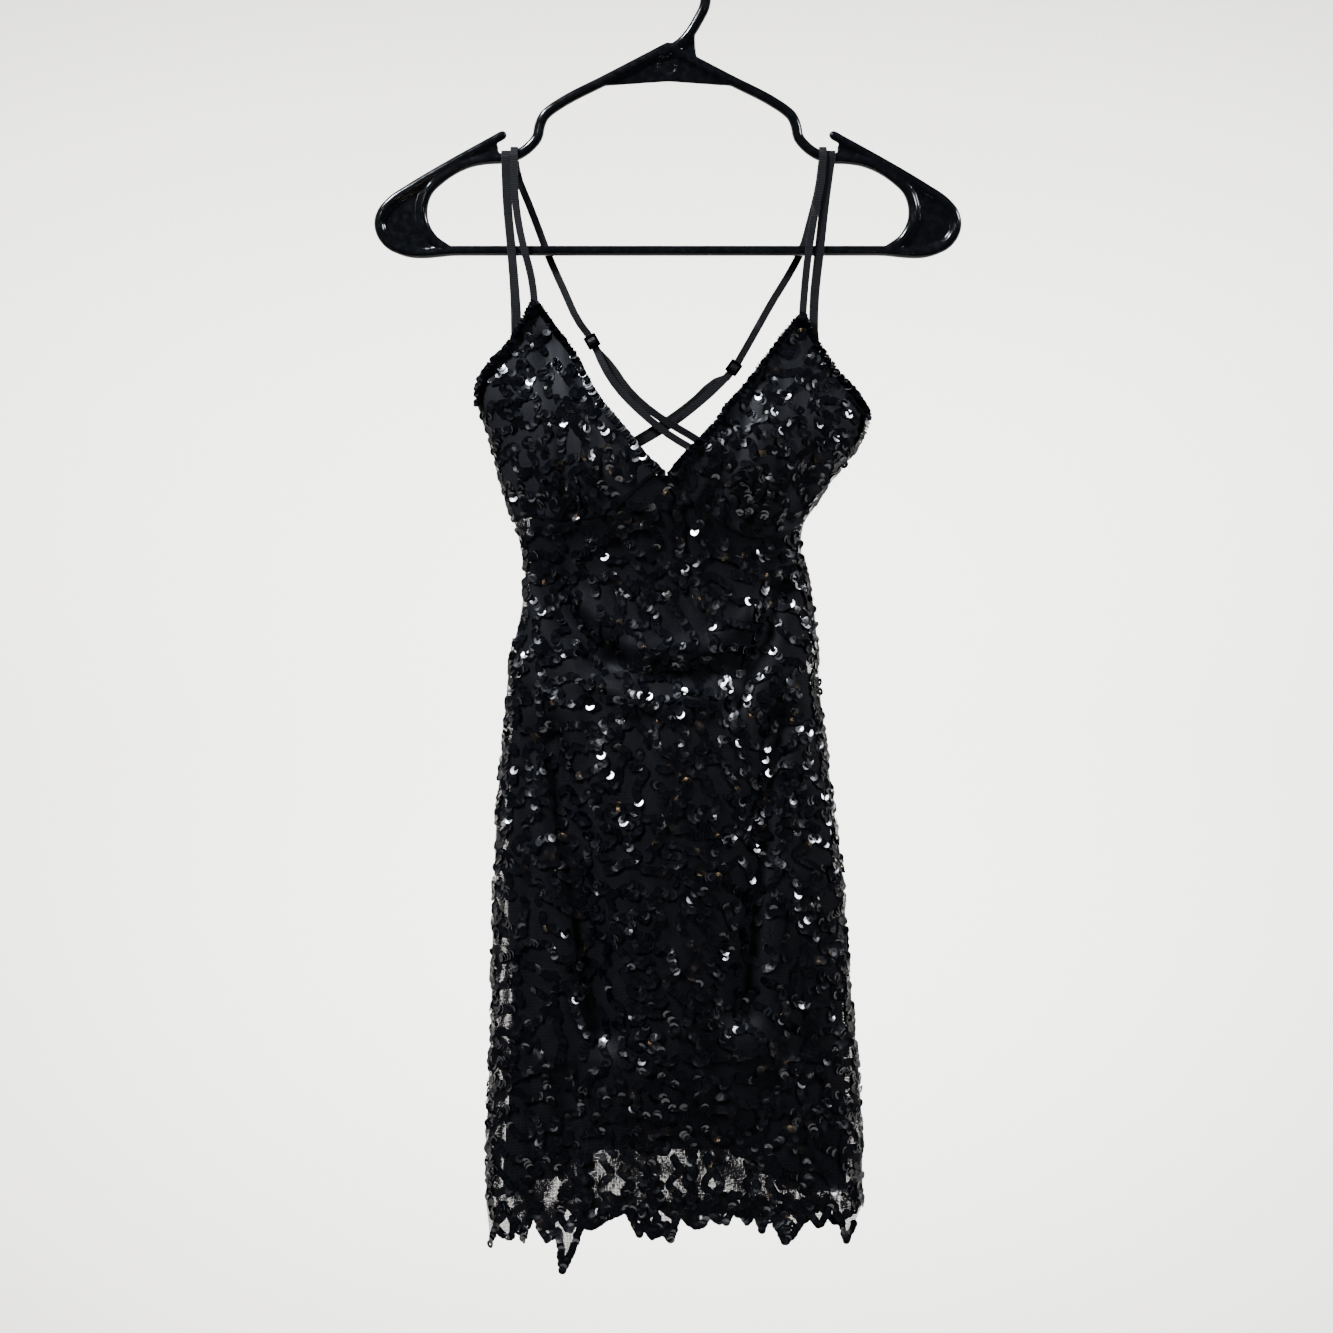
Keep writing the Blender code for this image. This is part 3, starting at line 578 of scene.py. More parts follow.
def normals(surface: Surface, u: Array, z: Array, side: Side) -> Array:
    """Which way a surface faces.

    Args:
        surface: The surface.
        u: Places across, from -1 to 1.
        z: Heights.
        side: Front or back.

    Returns:
        Unit vectors out of it at each (u, z).
    """
    low, high = np.clip(u - STEP_ACROSS, -1, 1), np.clip(u + STEP_ACROSS, -1, 1)
    down = surface(u, z - STEP_DOWN) - surface(u, z + STEP_DOWN)
    n = unit(np.cross(surface(high, z) - surface(low, z), down))
    away = np.stack([u, np.full(np.shape(u), 0.3 * side.value), np.zeros(np.shape(u))], axis=-1)
    return np.where(((n * away).sum(axis=-1) < 0)[..., None], -n, n)


@dataclass
class ClothMap:
    """Places on a hanging cloth by the distance along it from its middle line, and by height."""

    surface: Surface
    top: float
    bottom: float
    step: float = 3.0
    half: int = 120
    heights: Array = field(init=False)
    across: Array = field(init=False)
    reach: Array = field(init=False)

    def __post_init__(self) -> None:
        """Measure the cloth along each of its rows."""
        self.heights = np.arange(self.bottom, self.top + self.step, self.step)
        self.across = np.linspace(-1, 1, 2 * self.half + 1)
        u, z = np.meshgrid(self.across, self.heights)
        points = self.surface(u, z)
        run = np.cumsum(np.linalg.norm(np.diff(points, axis=1), axis=2), axis=1)
        run = np.concatenate([np.zeros((len(run), 1)), run], axis=1)
        self.reach = run - run[:, [self.half]]

    def u_at(self, along_it: Array, z: Array) -> Array:
        """Find places by their distance along the cloth.

        Args:
            along_it: Distances from the cloth's middle line.
            z: Heights.

        Returns:
            The u of each.
        """
        row = np.clip((z - self.heights[0]) / self.step, 0, len(self.heights) - 1.001)
        low, share = row.astype(int), row % 1
        found = np.empty(len(z))
        for k in np.unique(low):
            at = low == k
            a = np.interp(along_it[at], self.reach[k], self.across)
            b = np.interp(along_it[at], self.reach[k + 1], self.across)
            found[at] = a * (1 - share[at]) + b * share[at]
        return found

    def run_at(self, u: Array, z: Array) -> Array:
        """Measure along the cloth.

        Args:
            u: Places across, as a grid of rows.
            z: Their heights.

        Returns:
            The distance of each from the cloth's middle line.
        """
        row = np.clip(((z - self.heights[0]) / self.step).astype(int), 0, len(self.heights) - 1)
        found = np.empty(np.shape(u))
        for k in np.unique(row):
            found[row == k] = np.interp(u[row == k], self.across, self.reach[k])
        return found

    def limit(self, z: Array) -> Array:
        """How far the cloth reaches to both sides of its middle line at heights z."""
        row = np.clip((z - self.heights[0]) / self.step, 0, len(self.heights) - 1).astype(int)
        return np.minimum(-self.reach[row, 0], self.reach[row, -1])


# Nodes and finishes
def linear(code: str) -> tuple[float, float, float, float]:
    """A colour from sRGB hex, as linear values with alpha."""
    parts = [int(code[i : i + 2], 16) / 255 for i in (1, 3, 5)]
    return (*[p / 12.92 if p <= 0.04045 else ((p + 0.055) / 1.055) ** 2.4 for p in parts], 1.0)


def add_node(tree: Tree, kind: str, links: dict[Any, Any] | None = None, **settings: Any) -> Any:
    """Add one node.

    Args:
        tree: The material's tree.
        kind: The node's type.
        links: Input name or index to an output socket that feeds it, or to a plain value.
        settings: Properties of the node.

    Returns:
        The new node.
    """
    node = tree.nodes.new(kind)
    for name, value in settings.items():
        setattr(node, name, value)
    for name, value in (links or {}).items():
        if isinstance(value, bpy.types.NodeSocket):
            tree.links.new(value, node.inputs[name])
        else:
            node.inputs[name].default_value = value
    return node


def noise(tree: Tree, place: Any, scale: float, detail: float, roughness: float = 0.5) -> Any:
    """A noise of so many waves a metre, as an output socket."""
    links = {0: place, "Scale": scale, "Detail": detail, "Roughness": roughness}
    return add_node(tree, "ShaderNodeTexNoise", links).outputs[0]


def spread(tree: Tree, value: Any, low: float, high: float, start: float = 0.0, end: float = 1.0) -> Any:
    """A value that runs from low to high as another runs from start to end, as an output socket."""
    return add_node(tree, "ShaderNodeMapRange", {0: value, 1: start, 2: end, 3: low, 4: high}).outputs[0]


def maths(tree: Tree, operation: str, first: Any, second: Any) -> Any:
    """One operation on two values, as an output socket."""
    return add_node(tree, "ShaderNodeMath", {0: first, 1: second}, operation=operation).outputs[0]


def bump(tree: Tree, height: Any, strength: float, distance: float) -> Any:
    """A relief of so many metres, as an output socket."""
    links = {"Height": height, "Strength": strength, "Distance": distance}
    return add_node(tree, "ShaderNodeBump", links).outputs[0]


def ramp(tree: Tree, value: Any, dark: str, light: str, start: float = 0.0, end: float = 1.0) -> Any:
    """Blend two colours.

    Args:
        tree: The material's tree.
        value: The output socket that says how much.
        dark: The colour up to start, as sRGB hex.
        light: The colour from end on.
        start: Where the blend starts.
        end: Where it ends.

    Returns:
        An output socket.
    """
    node = add_node(tree, "ShaderNodeValToRGB", {0: value})
    for element, code, place in zip(node.color_ramp.elements, (dark, light), (start, end)):
        element.color, element.position = linear(code), place
    return node.outputs[0]


def new_material(name: str, **values: Any) -> tuple[Material, Tree, Any]:
    """Start a material with one Principled shader.

    Args:
        name: Its name.
        values: Values of the shader's sockets, by name with _ for a space.

    Returns:
        The material, its tree and the shader.
    """
    material = bpy.data.materials.new(name)
    material.use_nodes = True
    shader = material.node_tree.nodes["Principled BSDF"]
    for key, value in values.items():
        shader.inputs[key.replace("_", " ")].default_value = value
    return material, material.node_tree, shader


def feed(tree: Tree, shader: Any, **sockets: Any) -> None:
    """Feed the shader's sockets, by name with _ for a space, from output sockets."""
    for key, socket in sockets.items():
        tree.links.new(socket, shader.inputs[key.replace("_", " ")])


@dataclass(frozen=True)
class SequinFilm:
    """PET film, vacuum dyed black, punched and cupped: it mirrors the room in small sharp flashes."""

    colour: str = "#030408"
    worn: str = "#0b0d13"
    worn_from: float = 0.72
    roughness: float = 0.11
    radius: float = 3.05
    hole: float = 0.5
    cupping: float = 0.09
    corners: int = 12

    def material(self) -> Material:
        """The film, a little different from one sequin to the next.

        Returns:
            The material.
        """
        material, tree, shader = new_material("sequin_pet_film", Specular_IOR_Level=0.9)
        each = add_node(tree, "ShaderNodeNewGeometry").outputs["Random Per Island"]
        tone = ramp(tree, each, self.colour, self.worn, self.worn_from)
        rough = spread(tree, each, self.roughness, self.roughness + 0.12)
        feed(tree, shader, Base_Color=tone, Roughness=rough)
        return material

    def disc(self) -> tuple[Array, Array]:
        """The points of one sequin, the hole's first, and its faces.

        Returns:
            The points and the faces.
        """
        spin = np.arange(self.corners) * 2 * np.pi / self.corners
        rings = ((self.hole, 0.0), (self.radius, self.cupping))
        points = [np.stack([r * np.cos(spin), r * np.sin(spin), np.full(self.corners, h)], 1) for r, h in rings]
        a = np.arange(self.corners)
        b = (a + 1) % self.corners
        return np.concatenate(points), np.stack([a, a + self.corners, b + self.corners, b], axis=1)


@dataclass(frozen=True)
class Tulle:
    """Polyamide bobbin net, heat set: a fine black haze that shows what lies behind it."""

    colour: str = "#0c0c0f"
    cell: float = 1.0
    thread_shares: tuple[float, float] = (0.258, 0.31)

    def material(self) -> Material:
        """The net, its 0.8 mm holes drawn a little wider, so that a pixel never holds a whole one.

        Returns:
            The material.
        """
        material, tree, shader = new_material(
            "net_polyamide_tulle", Base_Color=linear(self.colour), Roughness=0.6, Specular_IOR_Level=0.1
        )
        place = add_node(tree, "ShaderNodeUVMap", uv_map="cloth").outputs[0]
        size = 1 / (self.cell * MM)
        scaled = add_node(tree, "ShaderNodeMapping", {0: place, "Scale": (size, size, size)}).outputs[0]
        holes = add_node(
            tree, "ShaderNodeTexVoronoi", {0: scaled, "Scale": 1.0, "Randomness": 0.35},
            feature="DISTANCE_TO_EDGE", voronoi_dimensions="2D",
        )
        dense = spread(tree, noise(tree, place, 55.0, 3.0), *self.thread_shares, 0.3, 0.7)
        feed(tree, shader, Alpha=maths(tree, "LESS_THAN", holes.outputs[0], dense))
        return material


@dataclass(frozen=True)
class LiningSatin:
    """Polyester warp satin, piece dyed: matt charcoal with a soft sheen where it turns away."""

    name: str = "lining_polyester_satin"
    colour: str = "#23262f"
    light: str = "#363a48"
    thread: float = 0.9

    def material(self) -> Material:
        """The cloth, its threads drawn at 0.9 mm because the real 0.1 mm would not show.

        Returns:
            The material.
        """
        material, tree, shader = new_material(self.name, Sheen_Weight=0.03, Specular_IOR_Level=0.15)
        place = add_node(tree, "ShaderNodeUVMap", uv_map="cloth").outputs[0]
        size = 1 / (self.thread * MM)
        scaled = add_node(tree, "ShaderNodeMapping", {0: place, "Scale": (size, size * 0.35, size)}).outputs[0]
        warp = noise(tree, scaled, 1.0, 2.0)
        both = maths(tree, "MULTIPLY", warp, noise(tree, place, 14.0, 4.0))
        tone = ramp(tree, both, self.colour, self.light, 0.15, 0.42)
        feed(
            tree, shader, Base_Color=tone, Roughness=spread(tree, warp, 0.5, 0.75),
            Normal=bump(tree, warp, 0.25, 0.0004),
        )
        return material


@dataclass(frozen=True)
class WovenBand:
    """Nylon woven narrow and dyed: ribbed along its length, with a low satin shine."""

    name: str
    dark: str
    light: str
    rib: float
    roughness: float

    def material(self) -> Material:
        """The band, its ribs across at the real pitch of the weft.

        Returns:
            The material.
        """
        material, tree, shader = new_material(self.name, Specular_IOR_Level=0.25)
        place = add_node(tree, "ShaderNodeTexCoord").outputs["Object"]
        waves = 1 / (self.rib * MM) / 6.2832
        ribs = add_node(
            tree, "ShaderNodeTexWave", {0: place, "Scale": waves, "Distortion": 1.5, "Detail": 2.0},
            bands_direction="Z",
        ).outputs[1]
        wear = noise(tree, place, 90.0, 3.0)
        tone = ramp(tree, maths(tree, "MULTIPLY", ribs, wear), self.dark, self.light, 0.0, 0.6)
        rough = spread(tree, wear, self.roughness, self.roughness + 0.2)
        feed(tree, shader, Base_Color=tone, Roughness=rough, Normal=bump(tree, ribs, 0.35, 0.0003))
        return material


@dataclass(frozen=True)
class MouldedPlastic:
    """Polystyrene or acetal, injection moulded in a polished tool: near-black, wet gloss, faint flow ripples."""

    name: str = "hanger_moulded_polystyrene"
    colour: str = "#08090b"
    scuffed: str = "#15161a"
    roughness: float = 0.11
    gloss: float = 0.4

    def material(self) -> Material:
        """The plastic, with fine scuffs that dull it in patches.

        Returns:
            The material.
        """
        material, tree, shader = new_material(self.name, Specular_IOR_Level=self.gloss)
        place = add_node(tree, "ShaderNodeTexCoord").outputs["Object"]
        scuffs = noise(tree, place, 220.0, 5.0, 0.7)
        tone = ramp(tree, scuffs, self.colour, self.scuffed, 0.45, 0.8)
        rough = spread(tree, scuffs, self.roughness, self.roughness + 0.14, 0.4, 0.75)
        flow = bump(tree, noise(tree, place, 35.0, 2.0), 0.18, 0.0008)
        feed(tree, shader, Base_Color=tone, Roughness=rough, Normal=flow)
        return material


@dataclass(frozen=True)
class StudioPaint:
    """Matt emulsion on a smooth wall and floor: pale, even, with no shine."""

    colour: str = "#dedcd8"

    def material(self) -> Material:
        """The paint, with a trace of roller texture.

        Returns:
            The material.
        """
        material, tree, shader = new_material("studio_matt_emulsion", Roughness=0.9, Base_Color=linear(self.colour))
        place = add_node(tree, "ShaderNodeTexCoord").outputs["Object"]
        feed(tree, shader, Normal=bump(tree, noise(tree, place, 60.0, 2.0), 0.03, 0.001))
        return material


# Sequins
SHORTEST_RUN = 3


def stretches(kept: Array) -> list[tuple[int, int]]:
    """Start and stop of each run of kept points that is long enough to sew."""
    cuts = np.flatnonzero(np.diff(np.r_[False, kept, False].astype(int)))
    return [(a, b) for a, b in zip(cuts[::2], cuts[1::2]) if b - a >= SHORTEST_RUN]


@dataclass
class SewnLine:
    """Sequin centres in millimetres, the way the line runs, the way the cloth faces, and the lean of each."""

    centre: Array
    ahead: Array
    out: Array
    lean: Array

    def kept(self, good: Array) -> list[SewnLine]:
        """The stretches of the line whose sequins are all good."""
        columns = (self.centre, self.ahead, self.out, self.lean)
        return [SewnLine(*(column[a:b] for column in columns)) for a, b in stretches(good)]


@dataclass(frozen=True)
class SequinSewing:
    """Sets sequins on lines and turns them into one mesh."""

    film: SequinFilm
    pitch: float = 2.5
    lean_degrees: float = 8.0
    stray_degrees: float = 9.5
    slip: float = 0.3
    stand: float = 0.75
    loose_share: float = 0.03
    loose_times: float = 4.0
    size_stray: float = 0.015

    def laid(self, base: Array, out: Array) -> SewnLine:
        """A line of sequins on the cloth, each over the one before it."""
        lean = np.full(len(base), np.radians(self.lean_degrees))
        return SewnLine(base + out * self.stand, np.gradient(base, axis=0), out, lean)

    def mesh(self, name: str, lines: Sequence[SewnLine], seed: int) -> Object:
        """All the sequins of some lines as one object.

        Args:
            name: The object's name.
            lines: The sewn lines.
            seed: Fixes how each sequin strays from its line.

        Returns:
            The object.
        """
        rng = np.random.default_rng(seed)
        centre, ahead, out, lean = (
            np.concatenate([getattr(line, part) for line in lines]) for part in ("centre", "ahead", "out", "lean")
        )
        count = len(centre)
        out = unit(out)
        ahead = unit(ahead - out * (ahead * out).sum(axis=1, keepdims=True))
        side = np.cross(out, ahead)
        centre = centre + side * rng.normal(0, self.slip, (count, 1))
        centre = centre + ahead * rng.normal(0, self.slip / 2, (count, 1))
        stray = np.radians(self.stray_degrees)
        turn = lean + rng.normal(0, stray, count)
        roll = rng.normal(0, stray, count)
        loose = rng.random(count) < self.loose_share
        turn[loose] += rng.normal(0, self.loose_times * stray, loose.sum())
        n = out * np.cos(turn)[:, None] - ahead * np.sin(turn)[:, None]
        t = ahead * np.cos(turn)[:, None] + out * np.sin(turn)[:, None]
        n = unit(n * np.cos(roll)[:, None] + side * np.sin(roll)[:, None])
        s = np.cross(n, t)
        disc, disc_faces = self.film.disc()
        local = disc[None] * rng.normal(1.0, self.size_stray, count)[:, None, None]
        points = centre[:, None]
        for axis, way in enumerate((t, s, n)):
            points = points + way[:, None] * local[..., axis : axis + 1]
        faces = disc_faces[None] + (np.arange(count) * len(disc))[:, None, None]
        return make_mesh(name, points.reshape(-1, 3), faces.reshape(-1, 4))


@dataclass(frozen=True)
class Vermicelli:
    """Wandering, never crossing lines, as embroiderers fill a ground: the level lines of a random swell."""

    wave: float = 30.0
    wave_stray: float = 0.07
    cell: float = 1.7
    waves: int = 48
    curl: float = 3.6
    curl_wave: float = 17.0
    curl_waves: int = 12
    thread: tuple[int, int] = (24, 90)
    pause: tuple[int, int] = (2, 8)
    shortest: int = 8

    def lines(self, width: float, low: float, high: float, seed: int) -> list[Array]:
        """Trace the lines over a flat cloth.

        Args:
            width: Half the cloth's width.
            low: Its lowest height.
            high: Its highest.
            seed: Fixes the pattern.

        Returns:
            Lines of points (distance across, height).
        """
        rng = np.random.default_rng(seed)
        heading = rng.random(self.waves) * 2 * np.pi
        pitch = 2 * np.pi / (self.wave * rng.normal(1, self.wave_stray, self.waves))
        phase = rng.random(self.waves) * 2 * np.pi
        x = np.arange(-width, width + self.cell, self.cell)
        z = np.arange(low, high + self.cell, self.cell)
        gx, gz = np.meshgrid(x, z)
        push_x, push_z = (self.curl * self.bent(gx, gz, rng) for _ in range(2))
        swell = sum(
            np.cos(k * (np.cos(h) * (gx + push_x) + np.sin(h) * (gz + push_z)) + p)
            for k, h, p in zip(pitch, heading, phase)
        )
        return [part for line in self.trace(swell, x, z) for part in self.broken(line, rng)]

    def bent(self, x: Array, z: Array, rng: np.random.Generator) -> Array:
        """A random swell that curls the lines.

        Args:
            x: Places across.
            z: Heights.
            rng: Where its random numbers come from.

        Returns:
            Its height at each place, with a spread of about one.
        """
        found = np.zeros(np.shape(x))
        for _ in range(self.curl_waves):
            heading, phase = rng.random(2) * 2 * np.pi
            found += np.cos(2 * np.pi / self.curl_wave * (np.cos(heading) * x + np.sin(heading) * z) + phase)
        return found / math.sqrt(self.curl_waves / 2)

    def broken(self, line: Array, rng: np.random.Generator) -> list[Array]:
        """Cut a line into lengths of thread with short bare stretches between them.

        Args:
            line: Its points.
            rng: Where the random lengths come from.

        Returns:
            The lengths.
        """
        parts, start = [], 0
        while start < len(line) - self.shortest:
            stop = start + int(rng.integers(*self.thread))
            parts.append(line[start:stop])
            start = stop + int(rng.integers(*self.pause))
        return parts

    def trace(self, swell: Array, x: Array, z: Array) -> list[Array]:
        """Join the places where the swell passes zero, cell by cell, into lines.

        Args:
            swell: Its heights at a grid of places.
            x: The grid's places across.
            z: The grid's heights.

        Returns:
            Lines of points (x, z).
        """
        above = swell > 0
        crossing: dict[tuple[int, int, int], tuple[float, float]] = {}
        for i, j in np.argwhere(above[:, :-1] != above[:, 1:]).tolist():
            t = swell[i, j] / (swell[i, j] - swell[i, j + 1])
            crossing[(0, i, j)] = (x[j] + t * self.cell, z[i])
        for i, j in np.argwhere(above[:-1] != above[1:]).tolist():
            t = swell[i, j] / (swell[i, j] - swell[i + 1, j])
            crossing[(1, i, j)] = (x[j], z[i] + t * self.cell)
        mixed = above[:-1, :-1] != above[:-1, 1:]
        mixed |= above[1:, :-1] != above[1:, 1:]
        mixed |= above[:-1, :-1] != above[1:, :-1]
        links: dict[tuple[int, int, int], list[tuple[int, int, int]]] = {}
        for i, j in np.argwhere(mixed).tolist():
            keys = [k for k in ((0, i, j), (1, i, j + 1), (0, i + 1, j), (1, i, j)) if k in crossing]
            for a, b in zip(keys[::2], keys[1::2]):
                links.setdefault(a, []).append(b)
                links.setdefault(b, []).append(a)
        lines, seen = [], set()
        for start in [k for k, v in links.items() if len(v) == 1] + list(links):
            chain, onward = [], [start] if start not in seen else []
            while onward:
                chain.append(onward[0])
                seen.add(onward[0])
                onward = [k for k in links[onward[0]] if k not in seen]
            if len(chain) > self.shortest:
                lines.append(np.array([crossing[k] for k in chain]))
        return lines


@dataclass(frozen=True)
class Embroidery:
    """A pattern of sequin lines, sewn over the dress."""

    form: DressForm
    sewing: SequinSewing
    pattern: Vermicelli
    selvedge: float = 2.0

    def on_cloth(self, cloth: ClothMap, side: Side, width: float, seed: int) -> list[SewnLine]:
        """Sew the pattern over a cloth.

        Args:
            cloth: The cloth's own map.
            side: Front or back.
            width: Half the widest row of the cloth.
            seed: Fixes the pattern.

        Returns:
            The sewn lines.
        """
        parts = []
        for line in self.pattern.lines(width, cloth.bottom, cloth.top, seed):
            flat = even(line, self.sewing.pitch)
            kept = np.abs(flat[:, 0]) < cloth.limit(flat[:, 1]) - self.selvedge
            parts += [flat[a:b] for a, b in stretches(kept)]
        flat = np.concatenate(parts)
        u = cloth.u_at(flat[:, 0], flat[:, 1])
        base, out = cloth.surface(u, flat[:, 1]), normals(cloth.surface, u, flat[:, 1], side)
        ends = np.cumsum([len(part) for part in parts])[:-1]
        return [self.sewing.laid(b, o) for b, o in zip(np.split(base, ends), np.split(out, ends))]

    def sewn(self, side: Side, u: Array, z: Array) -> SewnLine:
        """One line of sequins on the net at each (u, z)."""
        surface = self.form.surface(side)
        return self.sewing.laid(surface(u, z), normals(surface, u, z, side))

    def sewn_along(self, side: Side, line: Array) -> SewnLine:
        """One line of sequins over points (x, z) of the front plane."""
        return self.sewn(side, self.form.place(line[:, 0], line[:, 1]), line[:, 1])

    def dashes(
        self, rng: np.random.Generator, start: float, stop: float, length: tuple[float, float],
        pause: tuple[float, float],
    ) -> Iterator[Array]:
        """Short lengths of sequins up or down a seam, with pauses between them.

        Args:
            rng: Where the random lengths come from.
            start: The height of the first sequin.
            stop: The height before which the last length starts.
            length: The shortest and the longest length.
            pause: The shortest and the longest pause.

        Yields:
            The heights of one length's sequins.
        """
        way, z = math.copysign(1.0, stop - start), start
        while way * (stop - z) > 0:
            run = z + way * np.arange(0, rng.uniform(*length), self.sewing.pitch)
            yield run
            z = run[-1] + way * rng.uniform(*pause)


# Cloth sub-assemblies
@dataclass(frozen=True)
class SheetRows:
    """How the rows of a hung sheet leave its top edge, run level, and close in on its hem."""

    columns: int
    upper: int
    level_from: float
    level_to: float
    step: float
    hem_from: float
    lower: int
    hem_read_at: float
    first_guess: float = -400.0
    rounds: int = 12

    def places(self, surface: Surface, top: Callable[[Array], Array], hem: Line) -> tuple[Array, Array]:
        """Where the sheet's points lie.

        Args:
            surface: The surface that it hangs in.
            top: Gives the height of its top edge above each x.
            hem: Its hem.

        Returns:
            Places across, from -1 to 1, and heights, both as a grid of rows.
        """
        u = np.linspace(-1, 1, self.columns)
        low = edge_height(hem, surface(u, np.full(len(u), self.hem_read_at))[..., 0], straight=True)
        high = np.full(len(u), self.first_guess)
        for _ in range(self.rounds):
            high = (high + top(surface(u, high)[..., 0])) / 2
        upper = high + (self.level_from - high) * np.linspace(0, 1, self.upper, endpoint=False)[:, None]
        middle = np.arange(self.level_from, self.level_to, -self.step)[:, None] + np.zeros(len(u))
        lower = self.hem_from + (low - self.hem_from) * np.linspace(0, 1, self.lower)[:, None]
        z = np.concatenate([upper, middle, lower])
        return np.repeat(u[None], len(z), 0), z


def sheet_mesh(name: str, cloth: ClothMap, points: Array, u: Array, z: Array) -> Object:
    """Build a sheet of one layer.

    Args:
        name: The object's name.
        cloth: The cloth's map, which gives its flat places.
        points: Its points, as a grid of rows.
        u: Their places across.
        z: Their heights.

    Returns:
        The object.
    """
    uv = np.stack([cloth.run_at(u, z), z], axis=-1).reshape(-1, 2) * MM
    return make_mesh(name, points.reshape(-1, 3), grid_faces(*u.shape), uv)


@dataclass(frozen=True)
class BodyCut:
    """How one body is cut: its edges, its pattern's highest row and seed, and its flat size in metres."""

    side: Side
    name: str
    top: Line
    hem: Line
    highest: float
    seed: int
    flat: tuple[float, float]


BODIES = (
    BodyCut(Side.FRONT, "front", UNDER_BUST, FRONT_HEM, -366, 11, (0.3, 0.54)),
    BodyCut(Side.BACK, "back", BACK_NECK, BACK_HEM, -318, 12, (0.3, 0.6)),
)


